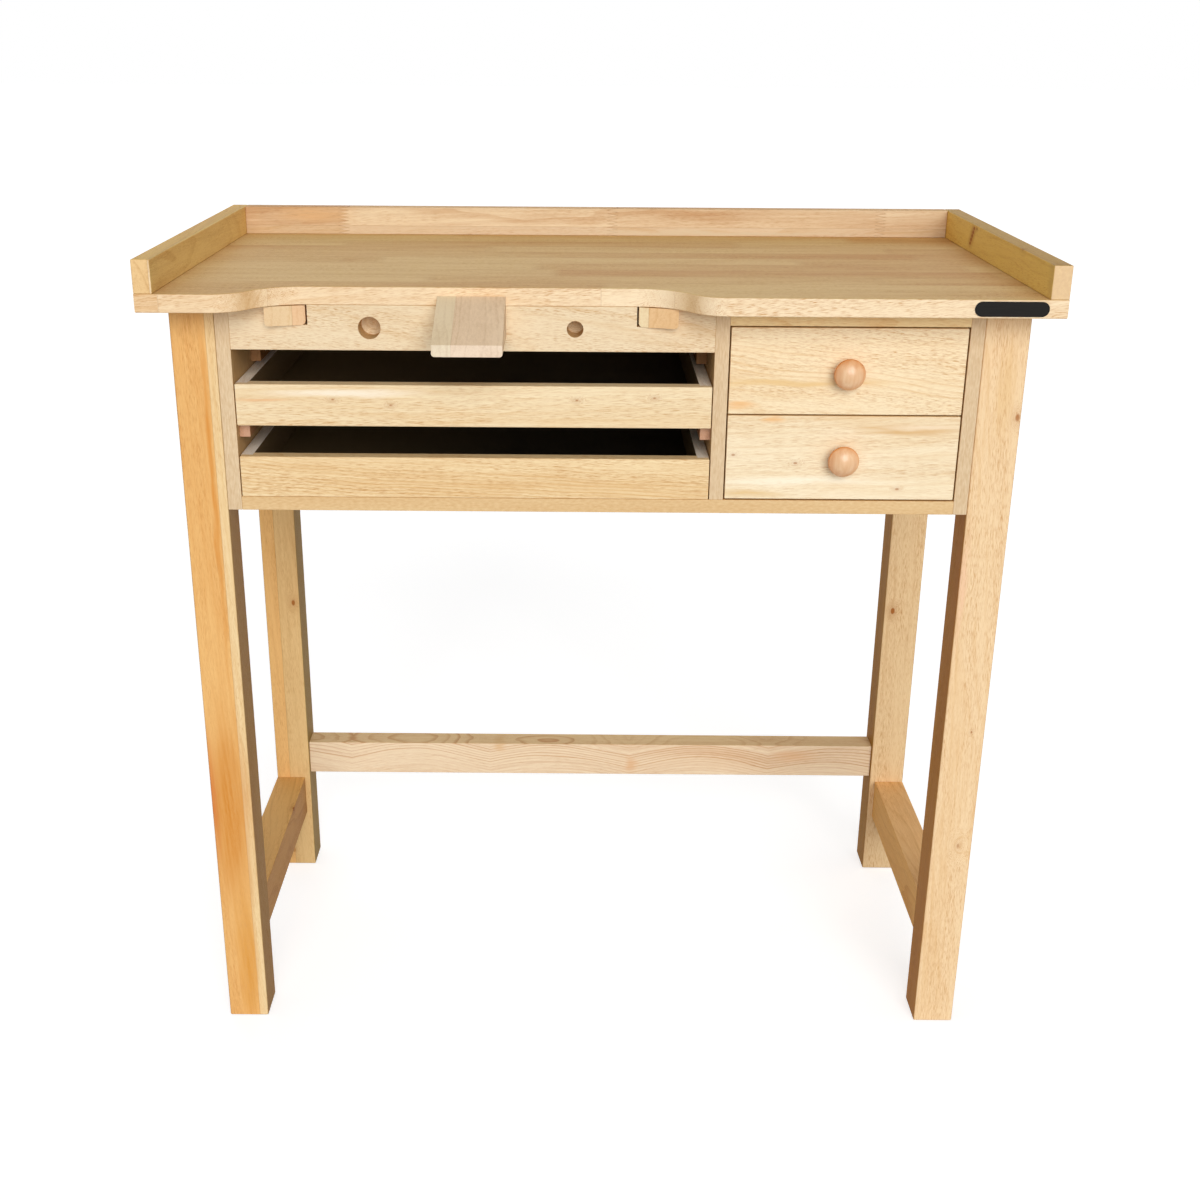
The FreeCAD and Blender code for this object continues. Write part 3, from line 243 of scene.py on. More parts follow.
def finger_joints(tree, place, joints):
    """Number of finger joints passed along the board, their changes of tone, and their glue lines."""
    finger, reach, line = 4.5 * MM, 14 * MM, 1.2 * MM
    parts = add(tree, "ShaderNodeSeparateXYZ", {0: place})
    tooth = add(tree, "ShaderNodeMath", {0: parts.outputs["Z"], 1: finger / 2}, operation="PINGPONG")
    cut = add(tree, "ShaderNodeMath", {0: tooth, 1: 2 * reach / finger, 2: parts.outputs["X"]},
              operation="MULTIPLY_ADD")
    passed, change, lines = 0.0, 0.0, 0.0
    for joint, step in joints:
        beyond = add(tree, "ShaderNodeMath", {0: cut, 1: joint}, operation="GREATER_THAN")
        close = add(tree, "ShaderNodeMath", {0: cut, 1: joint, 2: line}, operation="COMPARE")
        passed = add(tree, "ShaderNodeMath", {0: beyond, 1: passed}, operation="ADD")
        change = add(tree, "ShaderNodeMath", {0: beyond, 1: step, 2: change}, operation="MULTIPLY_ADD")
        lines = add(tree, "ShaderNodeMath", {0: close, 1: lines}, operation="ADD")
    return passed, change, lines


def spot(tree, place, middle, size, inner, outer):
    """1 within a stretched ball and 0 outside it, fading between two shares of its size, inner and outer."""
    away = add(tree, "ShaderNodeVectorMath", {0: place, 1: middle}, operation="SUBTRACT")
    scaled = add(tree, "ShaderNodeVectorMath", {0: away, 1: size}, operation="DIVIDE")
    distance = add(tree, "ShaderNodeVectorMath", {0: scaled}, operation="LENGTH")
    return add(tree, "ShaderNodeMapRange", {"Value": distance.outputs["Value"], "From Min": inner,
                                            "From Max": outer, "To Min": 1, "To Max": 0},
               interpolation_type="SMOOTHSTEP")


def arched(tree, grown, along, start, length, height):
    """Bends the grain up into arches of that length and height, the first of them at start."""
    turn = add(tree, "ShaderNodeMath", {0: along, 1: pi / length, 2: -start * pi / length},
               operation="MULTIPLY_ADD")
    wave = add(tree, "ShaderNodeMath", {0: turn}, operation="SINE")
    arch = add(tree, "ShaderNodeMath", {0: wave}, operation="ABSOLUTE")
    return add(tree, "ShaderNodeVectorMath", {0: arch, 1: (0, 0, -height), 2: grown},
               operation="MULTIPLY_ADD")


def knotted(tree, place, grown, knots):
    """Bends the grain round each knot. Returns the grain, and how brown the knots make the board."""
    stretch, halo_reach, core_start, push, halo_brown = 1.7, 4.0, 0.4, 1.5, 0.35
    brown = 0.0
    for middle, radius, depth in knots:
        size = (stretch * radius, radius, radius)
        halo = spot(tree, place, middle, size, 0.0, halo_reach)
        core = spot(tree, place, middle, size, core_start, 1.0)
        grown = add(tree, "ShaderNodeVectorMath", {0: halo, 1: (0, push * radius, push * radius), 2: grown},
                    operation="MULTIPLY_ADD")
        stain = add(tree, "ShaderNodeMath", {0: halo, 1: halo_brown, 2: core}, operation="MULTIPLY_ADD")
        brown = add(tree, "ShaderNodeMath", {0: stain, 1: depth, 2: brown}, operation="MULTIPLY_ADD")
    return grown, brown


def streaked(tree, place, colour, height, streaks):
    """Adds patches of another colour, frayed at their edges, that let the pores and fibres show."""
    fray, repeats = (40 * MM, 12 * MM, 12 * MM), (16, 90, 90)
    cover, grain_weight, inner, outer = 0.85, 0.7, 0.1, 1.2
    ragged = noise(tree, place, repeats, 3.0)
    moved = add(tree, "ShaderNodeVectorMath", {0: ragged.outputs["Color"], 1: fray, 2: place},
                operation="MULTIPLY_ADD")
    frayed = add(tree, "ShaderNodeVectorMath", {0: moved, 1: tuple(size / 2 for size in fray)},
                 operation="SUBTRACT")
    grained = add(tree, "ShaderNodeMath", {0: height, 1: grain_weight, 2: cover}, operation="MULTIPLY_ADD")
    for middle, size, tint in streaks:
        inside = spot(tree, frayed, middle, size, inner, outer)
        share = add(tree, "ShaderNodeMath", {0: inside, 1: grained}, operation="MULTIPLY")
        colour = add(tree, "ShaderNodeMix", {"Factor": share, "A": colour, "B": linear(tint)},
                     data_type="RGBA")
    return colour


def board(node, grain, seed, pale, dark, pith=(0.01, 0.07), spacing=8 * MM, tone=0.12, ringed=0.5, pored=0.5,
          slope=0.04, waves=None, joints=(), strip=None, seam=1.0, knots=(), streaks=(),
          side_shade=PLAIN_SIDE_SHADE, top=None, outward=0, glue_line_and_wall_shade=None, kind="lacquered_rubberwood"):
    """Paints a node as one planed board, straw to honey, with short brown pores and soft rings.

    The pith lies pith metres across and through from the board's middle, and the grain runs out of the board
    at slope. waves are (start, length, height) of the arches in wavy grain. joints are (place along the
    board, change of tone beyond it). strip is (axis, place, pale, dark): a second stave glued on beyond that
    place, and seam is how plainly its glue line shows. knots are (place, radius, depth of colour), and
    streaks are (place, size, colour).
    amber is a painted shade on edges and sides, a warm darker tint for the shade that falls there, and top
    is the painted light and shade on tops. outward is the way along X that the outer side looks, 1 or -1,
    where the painted shade is the plain one. lined is the way that an inner face looks that gets a painted
    shade in dark brown. kind names the wood and its finish.
    """
    block_jump, strip_jump, glue_line = (5, 0.05, 0.05), (3.1, 0.03, -0.02), 0.5 * MM
    material, tree, shader = new_material(f"{kind}_{node}")
    place, coordinates = board_space(tree, node, grain)
    parts = add(tree, "ShaderNodeSeparateXYZ", {0: place})
    along, line = parts.outputs["X"], 0.0
    pale, dark = linear(pale), linear(dark)
    grown = add(tree, "ShaderNodeVectorMath", {0: along, 1: (0, slope, slope), 2: place},
                operation="MULTIPLY_ADD")
    if waves:
        grown = arched(tree, grown, along, *waves)
    if joints:
        passed, change, line = finger_joints(tree, place, joints)
        chance = add(tree, "ShaderNodeMath", {0: passed, 1: seed}, operation="ADD")
        random = add(tree, "ShaderNodeTexWhiteNoise", {"W": chance}, noise_dimensions="1D")
        tone = add(tree, "ShaderNodeMath", {0: change, 1: tone}, operation="ADD")
        grown = add(tree, "ShaderNodeVectorMath", {0: random.outputs["Color"], 1: block_jump, 2: grown},
                    operation="MULTIPLY_ADD")
    if strip:
        axis, at, strip_pale, strip_dark = strip
        beyond = add(tree, "ShaderNodeMath", {0: parts.outputs[axis], 1: at}, operation="GREATER_THAN")
        pale = add(tree, "ShaderNodeMix", {"Factor": beyond, "A": pale, "B": linear(strip_pale)},
                   data_type="RGBA")
        dark = add(tree, "ShaderNodeMix", {"Factor": beyond, "A": dark, "B": linear(strip_dark)},
                   data_type="RGBA")
        glued = add(tree, "ShaderNodeMath", {0: parts.outputs[axis], 1: at, 2: glue_line},
                    operation="COMPARE")
        line = add(tree, "ShaderNodeMath", {0: glued, 1: seam, 2: line}, operation="MULTIPLY_ADD")
        grown = add(tree, "ShaderNodeVectorMath", {0: beyond, 1: strip_jump, 2: grown},
                    operation="MULTIPLY_ADD")
    grown, brown = knotted(tree, place, grown, knots)
    seated = add(tree, "ShaderNodeVectorMath", {0: grown, 1: (seed * APART, *pith)}, operation="ADD")
    wood = add(tree, "ShaderNodeGroup",
               {"Place": seated, "Spacing": spacing, "Pale": pale, "Dark": dark, "Tone": tone, "Line": line,
                "Ringed": ringed, "Pored": pored}, node_tree=PLANED)
    colour, height = wood.outputs["Colour"], wood.outputs["Height"]
    if knots:
        colour = add(tree, "ShaderNodeMix", {"Factor": brown, "A": colour, "B": linear("A9662F")},
                     data_type="RGBA", clamp_factor=True)
    if streaks:
        colour = streaked(tree, place, colour, height, streaks)
    # Painted shade: the inner face gets a dark brown colour.
    if glue_line_and_wall_shade:
        toward = add(tree, "ShaderNodeVectorMath", {0: coordinates.outputs["Normal"], 1: glue_line_and_wall_shade},
                     operation="DOT_PRODUCT")
        inner = add(tree, "ShaderNodeMath", {0: toward.outputs["Value"], 1: 0.5}, operation="GREATER_THAN")
        colour = add(tree, "ShaderNodeMix", {"Factor": inner, "A": colour, "B": linear(PAINTED_WALL_SHADE)},
                     data_type="RGBA")
    finish_wood(tree, shader, coordinates, colour, height, side_shade=side_shade, top=top, outward=outward)
    paint(material, node)


def finish_wood(tree, shader, coordinates, colour, height, roughness=0.6, coat=0.0,
                side_shade=PLAIN_SIDE_SHADE, top=None, outward=0):
    """Clear satin lacquer over slightly rough wood, its pores just open: a soft sheen. Edges, sides and tops
    get a painted shade, a warm tint for how the light falls on them.
    """
    relief, bump_strength, coat_roughness, specular = 0.25 * MM, 0.35, 0.3, 0.15
    facing = add(tree, "ShaderNodeSeparateXYZ", {0: coordinates.outputs["Normal"]})
    side = linear(side_shade)
    if outward:
        turned = add(tree, "ShaderNodeMath", {0: facing.outputs["X"], 1: outward}, operation="MULTIPLY")
        outside = add(tree, "ShaderNodeMath", {0: turned, 1: 0.5}, operation="GREATER_THAN")
        side = add(tree, "ShaderNodeMix", {"Factor": outside, "A": side, "B": linear(PLAIN_SIDE_SHADE)},
                   data_type="RGBA")
    # Fronts and backs keep the wood's own colour. Where a face turns away from them it gets a painted shade,
    # a warm darker tint, and tops get their own painted light and shade.
    frontal = add(tree, "ShaderNodeMath", {0: facing.outputs["Y"]}, operation="ABSOLUTE")
    shown = add(tree, "ShaderNodeMapRange", {"Value": frontal, "From Min": 0.9, "From Max": 0.4})
    above = add(tree, "ShaderNodeMapRange", {"Value": facing.outputs["Z"], "From Min": 0.4, "From Max": 0.9})
    tint = add(tree, "ShaderNodeMix", {"Factor": above, "A": side, "B": linear(top or side_shade)},
               data_type="RGBA")
    painted_shade_colour = add(tree, "ShaderNodeMix", {"Factor": shown, "A": colour, "B": tint},
                 data_type="RGBA", blend_type="MULTIPLY")
    link(tree, painted_shade_colour, shader.inputs["Base Color"])
    bump = add(tree, "ShaderNodeBump", {"Height": height, "Strength": bump_strength, "Distance": relief})
    link(tree, bump, shader.inputs["Normal"])
    worn = add(tree, "ShaderNodeMapRange", {"Value": height, "From Min": -0.6, "From Max": 0.4,
                                            "To Min": roughness + 0.1, "To Max": roughness - 0.05})
    link(tree, worn, shader.inputs["Roughness"])
    shader.inputs["Specular IOR Level"].default_value = specular
    shader.inputs["Coat Weight"].default_value = coat
    shader.inputs["Coat Roughness"].default_value = coat_roughness


# -------------------- the boards

HONEY = ("F2D8AA", "DAAE76")  # the pale and the dark colour of the boards inside


def dress_boards():
    """Every sawn board of the bench, each with its own figure."""
    # Each board's amber and top colours are painted shade on its sides and painted light and shade on its
    # top.
    board("left_lip", "Y", 3, "EDC992", "C99557", pith=(0.05, 0.02), ringed=0.4, side_shade="FAEAB2",
          top="E6DC9E", strip=("Y", 0.008, "F6E0BA", "DDB888"), seam=0.4, outward=-1)
    # A dark crack, drawn as a row of small knots.
    crack = tuple(((0.088 + 0.0035 * i, -0.01, 0.013 - 0.005 * i), 2.6 * MM, 1.0) for i in range(5))
    board("right_lip", "Y", 4, "FADEA9", "E0B573", pith=(0.04, -0.03), ringed=0.3, side_shade="FFF4AC",
          top="BAA86F", outward=1, streaks=(((-0.255, 0, 0), (0.02, 0.09, 0.09), "E1BE94"),),
          knots=(*crack, ((0.0745, -0.01, 0.014), 1.6 * MM, 0.9), ((-0.133, -0.01, 0.018), 3 * MM, 0.4)))
    board("back_lip", "X", 5, "DCC3A2", "CFAE84", pith=(0.06, 0.02), tone=0.75, slope=-0.03,
          joints=((-0.335, -0.6), (0.029, 0.13), (0.392, 0.14)),
          strip=("Z", -0.0065, "E6CFAC", "C69D72"), seam=0.4,
          streaks=(((-0.38, -0.01, 0.008), (0.06, 0.05, 0.012), "DAAE7C"),
                   ((0.15, -0.01, -0.014), (0.24, 0.05, 0.004), "D6C2A2")))
    board("front_left_leg", "Z", 6, "EDBC78", "DA9950", pith=(-0.02, 0.07), pored=0.6, ringed=0.12,
          strip=("Y", 0.0142, "EFD2A0", "DDAE6C"), seam=0.4, side_shade="B6A07C",
          streaks=(((0.25, 0.009, -0.025), (0.26, 0.004, 0.05), "D9903F"),
                   ((-0.165, -0.003, -0.025), (0.165, 0.032, 0.05), "CF842E"),
                   ((-0.15, -0.024, -0.025), (0.1, 0.01, 0.05), "D27A3C"),
                   ((-0.385, 0.004, -0.025), (0.13, 0.016, 0.05), "D9963F")))
    board("front_right_leg", "Z", 7, "F3D5AA", "DEAF73", pith=(0.03, 0.09), pored=0.8, ringed=0.25,
          side_shade="CBA056",
          knots=(((0.346, 0.021, -0.025), 3.5 * MM, 0.6), ((-0.204, 0.007, -0.025), 5 * MM, 0.0),
                 ((-0.204, 0.008, -0.025), 2.5 * MM, 0.4), ((-0.046, 0.009, -0.025), 1.3 * MM, 0.6)),
          streaks=(((0.139, -0.021, -0.025), (0.09, 0.006, 0.05), "F2C9A4"),
                   ((0.38, 0.004, -0.025), (0.07, 0.012, 0.05), "EBC793")))
    board("rear_left_leg", "Z", 8, "ECBC79", "D49851", pith=(0.02, 0.08), pored=0.5, ringed=0.2,
          strip=("Y", -0.005, "E6C288", "D2A569"), seam=0.5, side_shade="B5B091",
          knots=(((-0.032, 0.016, -0.025), 3.4 * MM, 0.8), ((-0.443, -0.007, -0.025), 3 * MM, 0.5)))
    board("rear_right_leg", "Z", 9, "EECFA0", "D6A974", pith=(-0.03, 0.06), pored=0.9, ringed=0.3,
          side_shade="BD9B4A", knots=(((-0.038, -0.013, -0.025), 3.6 * MM, 1.0),))
    board("left_side_stretcher", "Y", 10, "E6BE8C", "C4925C", pith=(0.07, 0.02), side_shade="DCC8A2",
          top="FFF6CE", knots=(((0.07, 0.021, 0.028), 3.4 * MM, 1.0),))
    board("right_side_stretcher", "Y", 11, "FCD09C", "E0A86C", pith=(0.08, 0.03), side_shade="FFF0BC",
          top="FFFAE6")
    board("rear_stretcher", "X", 12, "EDD7B7", "CEA279", top="F6ECD0", pith=(0.0, 0.09), spacing=4.5 * MM,
          ringed=1.0, pored=0.4, slope=0.0, waves=(0.059, 0.21, 15 * MM),
          streaks=(((0.059, -0.0175, -0.008), (0.012, 0.05, 0.016), "DDB084"),
                   ((-0.136, -0.0175, 0.02), (0.014, 0.05, 0.01), "DDB688"),
                   ((0.31, -0.0175, 0.008), (0.04, 0.05, 0.012), "DFB48A")))
    board("front_apron", "X", 13, "EDD8B5", "D8B17B", pith=(0.09, 0.02), pored=0.9, ringed=0.35, slope=0.06)
    # Painted light: the rail is painted paler, against the shadow that the top's overhang casts on it.
    board("drawer_rail", "X", 14, "FBDFA8", "E4B372", pith=(0.08, 0.02))
    board("rear_rail", "X", 15, *HONEY, pith=(0.07, 0.04))
    board("armrest_guide_rail", "X", 16, *HONEY, pith=(0.06, 0.05))
    board("tray_runners", "Y", 17, "CDA286", "B98A68", pith=(0.05, 0.05))
    # Painted shade: the kickers are painted dark brown for the shade they stand in under the top.
    board("tray_kickers", "Y", 18, "A87A50", "8A6038", pith=(0.06, 0.03))
    board("drawer_runners", "Y", 19, *HONEY, pith=(0.05, 0.04))
    board("left_armrest", "Y", 20, "E8CA9F", "D5AA76", pith=(0.16, 0.0), pored=0.3,
          strip=("Y", 0.0077, "EAC398", "D9A778"), seam=0.5)
    board("right_armrest", "Y", 21, "F2DCB2", "DDB684", pith=(0.16, 0.0), pored=0.3,
          strip=("Y", -0.0107, "ECC594", "DBAC75"), seam=0.5)
    # The inner face of each tray wall gets a painted shade in dark brown.
    for seed, tray in enumerate(("upper_tray", "lower_tray"), 22):
        for extra, (part, glue_line_and_wall_shade) in enumerate((("left_side", (1, 0, 0)), ("right_side", (-1, 0, 0)),
                                               ("back", (0, -1, 0))), 1):
            grain = "X" if part == "back" else "Y"
            # Painted light: the walls are painted nearly white, paler than the wood, to brighten their rims
            # in the shade under the apron.
            board(f"{tray}_{part}", grain, seed + 10 * extra, "FFF6E6", "F0DEC4", pith=(0.05, 0.02),
                  side_shade="FFFFFF", glue_line_and_wall_shade=glue_line_and_wall_shade)
    board("upper_tray_front", "X", 22, "F3DFB9", "DFB77E", pith=(0.05, 0.03), pored=0.8, ringed=0.2,
          slope=-0.02, side_shade="FFFCF4",
          knots=tuple(((x, -0.008, z), 1.8 * MM, 0.7) for x, z in
                      ((-0.158, 0.007), (-0.093, 0.001), (0.116, 0.008), (0.203, 0.011))),
          streaks=(((-0.235, -0.008, 0.006), (0.03, 0.05, 0.003), "E9B98A"),
                   ((-0.15, -0.008, 0.015), (0.1, 0.05, 0.006), "FCEFDA")))
    board("lower_tray_front", "X", 23, "F3DAAD", "D9AC70", pith=(0.03, 0.06), spacing=4 * MM, ringed=0.5,
          pored=0.9, slope=0.03, side_shade="FFFCF4")
    board("upper_drawer_front", "X", 26, "F8E4BF", "E3BB82", pith=(0.04, 0.05), spacing=5 * MM, ringed=0.45,
          pored=0.8, slope=0.06,
          streaks=(((-0.06, -0.009, -0.013), (0.14, 0.05, 0.005), "E9C68C"),
                   ((-0.115, -0.009, -0.038), (0.025, 0.05, 0.006), "F0BE84")))
    board("lower_drawer_front", "X", 27, "F8E7C6", "E3BF8A", pith=(0.035, 0.03), spacing=7 * MM, ringed=0.2,
          pored=0.6, slope=-0.03,
          knots=tuple(((x, -0.009, z), 1.8 * MM, 0.5) for x, z in
                      ((-0.052, -0.006), (-0.123, 0.003), (0.066, -0.036))),
          streaks=(((0.072, -0.009, 0.033), (0.07, 0.05, 0.0065), "DCB47E"),
                   ((0.09, -0.009, 0.036), (0.05, 0.05, 0.0025), "F6E0C0"),
                   ((-0.05, -0.009, -0.027), (0.13, 0.05, 0.006), "FDF3DA"),
                   ((-0.1, -0.009, -0.042), (0.05, 0.05, 0.006), "E4C188"),
                   ((-0.076, -0.009, 0.044), (0.014, 0.05, 0.004), "F0BE84")))
    for seed, drawer in enumerate(("upper_drawer", "lower_drawer"), 26):
        for extra, part in enumerate(("left_side", "right_side", "back"), 1):
            grain = "X" if part == "back" else "Y"
            board(f"{drawer}_{part}", grain, seed + 10 * extra, *HONEY, pith=(0.05, 0.03))


def dress_top():
    """The top: narrow staves, each finger-jointed from short blocks. Its face is painted darker than its
    edges as painted shade, and lighter at the left as a painted sheen.
    """
    stave, first_stave, block, finger, reach = 48 * MM, 42 * MM, 0.508, 6 * MM, 14 * MM
    end_block, end_tone, painted_sheen_slope = -0.463, 0.9, 0.38
    stave_line, block_line, edge_line_share = 0.4 * MM, 1.2 * MM, 0.35
    stagger_growth, stagger_start, row_stride = 0.17, -0.198, 17.0
    block_jump, lean, pith = (9, 0.12, 0.05), (0, -0.04, -0.1), (40, -0.05, 0.05)
    material, tree, shader = new_material("lacquered_rubberwood_top")
    place, coordinates = board_space(tree, "bench_top", "X")
    low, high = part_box("bench_top")
    front = (high.y - low.y) / 2 + stave - first_stave
    parts = add(tree, "ShaderNodeSeparateXYZ", {0: place})
    from_front = add(tree, "ShaderNodeMath", {0: parts.outputs["Y"], 1: front}, operation="ADD")
    rows = add(tree, "ShaderNodeMath", {0: from_front, 1: stave}, operation="DIVIDE")
    row = add(tree, "ShaderNodeMath", {0: rows}, operation="FLOOR")
    within = add(tree, "ShaderNodeMath", {0: rows}, operation="FRACT")
    # The blocks' ends wander from row to row, as staves are laid up from random lengths.
    offset = add(tree, "ShaderNodeMath", {0: row, 1: stagger_growth, 2: stagger_start},
                 operation="MULTIPLY_ADD")
    stagger = add(tree, "ShaderNodeMath", {0: row, 1: offset}, operation="MULTIPLY")
    tooth = add(tree, "ShaderNodeMath", {0: from_front, 1: finger / 2}, operation="PINGPONG")
    cut = add(tree, "ShaderNodeMath", {0: tooth, 1: 2 * reach / finger, 2: parts.outputs["X"]},
              operation="MULTIPLY_ADD")
    started = add(tree, "ShaderNodeMath", {0: cut, 1: stagger}, operation="SUBTRACT")
    counted = add(tree, "ShaderNodeMath", {0: started, 1: reach / 2 - end_block}, operation="ADD")
    lengths = add(tree, "ShaderNodeMath", {0: counted, 1: block}, operation="DIVIDE")
    number = add(tree, "ShaderNodeMath", {0: lengths}, operation="FLOOR")
    in_block = add(tree, "ShaderNodeMath", {0: lengths}, operation="FRACT")
    chance = add(tree, "ShaderNodeMath", {0: row, 1: row_stride, 2: number}, operation="MULTIPLY_ADD")
    random = add(tree, "ShaderNodeTexWhiteNoise", {"W": chance}, noise_dimensions="1D")

    facing = add(tree, "ShaderNodeSeparateXYZ", {0: coordinates.outputs["Normal"]})
    upward = add(tree, "ShaderNodeMapRange",
                 {"Value": facing.outputs["Z"], "From Min": 0.3, "From Max": 0.9})
    spread = add(tree, "ShaderNodeMapRange", {"Value": upward, "To Min": 0.25, "To Max": 0.65})
    # Painted sheen: the face is painted lighter at the left and darker toward the right.
    level = add(tree, "ShaderNodeMath", {0: parts.outputs["X"], 1: painted_sheen_slope}, operation="MULTIPLY")
    painted_sheen = add(tree, "ShaderNodeMath", {0: level, 1: upward}, operation="MULTIPLY")
    mixed = add(tree, "ShaderNodeMath", {0: random.outputs["Value"], 1: spread, 2: painted_sheen},
                operation="MULTIPLY_ADD")
    outer = add(tree, "ShaderNodeMath", {0: cut, 1: end_block - reach / 2}, operation="LESS_THAN")
    tone = add(tree, "ShaderNodeMath", {0: outer, 1: end_tone, 2: mixed}, operation="MULTIPLY_ADD")
    seam = add(tree, "ShaderNodeMath", {0: within, 1: 0.0, 2: stave_line / stave}, operation="COMPARE")
    end = add(tree, "ShaderNodeMath", {0: in_block, 1: 0.0, 2: block_line / block}, operation="COMPARE")
    glued = add(tree, "ShaderNodeMath", {0: seam, 1: end}, operation="MAXIMUM")
    plain = add(tree, "ShaderNodeMapRange", {"Value": upward, "To Min": edge_line_share, "To Max": 1.0})
    line = add(tree, "ShaderNodeMath", {0: glued, 1: plain}, operation="MULTIPLY")

    jump = add(tree, "ShaderNodeVectorMath", {0: random.outputs["Color"], 1: block_jump, 2: place},
               operation="MULTIPLY_ADD")
    leant = add(tree, "ShaderNodeVectorMath", {0: parts.outputs["X"], 1: lean, 2: jump},
                operation="MULTIPLY_ADD")
    seated = add(tree, "ShaderNodeVectorMath", {0: leant, 1: pith}, operation="ADD")
    # Painted shade: the face takes darker colours than the edges, for the light that falls on it from the
    # front.
    pale, dark = (
        add(tree, "ShaderNodeMix", {"Factor": upward, "A": linear(edge), "B": linear(face)},
            data_type="RGBA")
        for edge, face in (("F8E1BD", "EBD8AB"), ("E3BB89", "D3AB72"))
    )
    wood = add(tree, "ShaderNodeGroup",
               {"Place": seated, "Spacing": 8 * MM, "Pale": pale, "Dark": dark, "Tone": tone, "Line": line,
                "Ringed": 0.3, "Pored": 0.9}, node_tree=PLANED)
    finish_wood(tree, shader, coordinates, wood.outputs["Colour"], wood.outputs["Height"])
    paint(material, "bench_top")


# -------------------- other finishes


def plain_wood(name, node, grain, seed, pale, dark, flecks, roughness=0.6, coat=0.0, banded=0.6,
               side_shade=PLAIN_SIDE_SHADE, others=()):
    """A fine even wood: soft bands along the grain, and small flecks that repeat so many times a metre."""
    bands, spread = (2.5, 60, 60), 0.3
    material, tree, shader = new_material(name)
    place, coordinates = board_space(tree, node, grain)
    seated = add(tree, "ShaderNodeVectorMath", {0: place, 1: (seed * APART, 0.2, 0.1)}, operation="ADD")
    fine, broad = noise(tree, seated, flecks, 3.0), noise(tree, seated, bands, 3.0)
    mixed = add(tree, "ShaderNodeMath", {0: broad, 1: banded, 2: fine}, operation="MULTIPLY_ADD")
    middle = 0.5 + banded / 2
    tone = add(tree, "ShaderNodeMapRange",
               {"Value": mixed, "From Min": middle - spread, "From Max": middle + spread})
    colour = add(tree, "ShaderNodeMix", {"Factor": tone, "A": linear(pale), "B": linear(dark)},
                 data_type="RGBA")
    height = add(tree, "ShaderNodeMath", {0: fine, 1: 0.5}, operation="SUBTRACT")
    finish_wood(tree, shader, coordinates, colour, height, roughness, coat, side_shade=side_shade)
    paint(material, node, *others)


def dress_panels():
    """The cabinet's fine-grained board, the boxes' sanded plywood, and the bare beech pin and dowels."""
    for seed, node in enumerate(("cabinet_left_panel", "cabinet_right_panel", "cabinet_divider"), 1):
        plain_wood(f"lacquered_fine_board_{seed}", node, "Z", seed, "E6CEAA", "CFAF86", (120, 600, 600),
                   banded=0.3)
    plain_wood("lacquered_fine_board_floor", "cabinet_floor", "X", 4, "E8C998", "D4AC78", (160, 500, 500),
               banded=0.5)
    for seed, node in enumerate(("cabinet_back", "upper_drawer_floor", "lower_drawer_floor"), 5):
        plain_wood(f"sanded_plywood_{node}", node, "X", seed, "E6CDA4", "CDAC7C", (30, 300, 300))
    plain_wood("bare_beech_dowels", "dowels", "X", 9, "E6CBA2", "D0AE80", (110, 420, 420), 0.7,
               others=("left_armrest_peg", "right_armrest_peg"))
    board("bench_pin", "Y", 8, "ECDDC2", "D6C0A0", pith=(0.16, 0.01), spacing=7 * MM, ringed=0.35, pored=0.3,
          strip=("Y", -0.017, "EFD9C0", "D3B798"), seam=0.2, side_shade="F6EFE2", kind="bare_beech")


def dress_knobs():
    """Turned hardwood under gloss lacquer: pale on its face, with a painted shade in orange round its rim,
    and a broad glint.
    """
    for seed, drawer in enumerate(("upper", "lower"), 21):
        plain_wood(f"turned_lacquered_knob_{drawer}", f"{drawer}_drawer_knob", "Z", seed, "ECC79D", "DAA473",
                   (25, 260, 260), 0.35, 0.9, side_shade="F2BC74")


def dress_lining():
    """Black enamelled sheet steel in the trays: near black, softly glossy, with a fine orange-peel.

    It is painted lighter and browner toward the left, as painted light where light and the walls' reflection
    fall.
    """
    peel_repeats, peel_height, dust_repeats = 320.0, 0.1 * MM, 14.0  # 3 mm and 70 mm
    painted_light_from, painted_light_to = -0.1, -0.4
    material, tree, shader = new_material("black_enamelled_steel")
    coordinates = add(tree, "ShaderNodeTexCoord")
    peel, dust = (
        add(tree, "ShaderNodeTexNoise",
            {"Vector": coordinates.outputs["Object"], "Scale": repeats, "Detail": detail})
        for repeats, detail in ((peel_repeats, 2.0), (dust_repeats, 4.0))
    )
    across = add(tree, "ShaderNodeSeparateXYZ", {0: coordinates.outputs["Object"]})
    # Painted light: the sheet turns lighter and browner toward the left.
    painted_light = add(tree, "ShaderNodeMapRange",
               {"Value": across.outputs["X"], "From Min": painted_light_from, "From Max": painted_light_to})
    black = add(tree, "ShaderNodeMix", {"Factor": dust, "A": linear("1C1914"), "B": linear("332D24")},
                data_type="RGBA")
    colour = add(tree, "ShaderNodeMix", {"Factor": painted_light, "A": black, "B": linear("7C6646")},
                 data_type="RGBA")
    link(tree, colour, shader.inputs["Base Color"])
    bump = add(tree, "ShaderNodeBump", {"Height": peel, "Strength": 0.2, "Distance": peel_height})
    link(tree, bump, shader.inputs["Normal"])
    shader.inputs["Roughness"].default_value = 0.42
    paint(material, "upper_tray_floor", "lower_tray_floor")


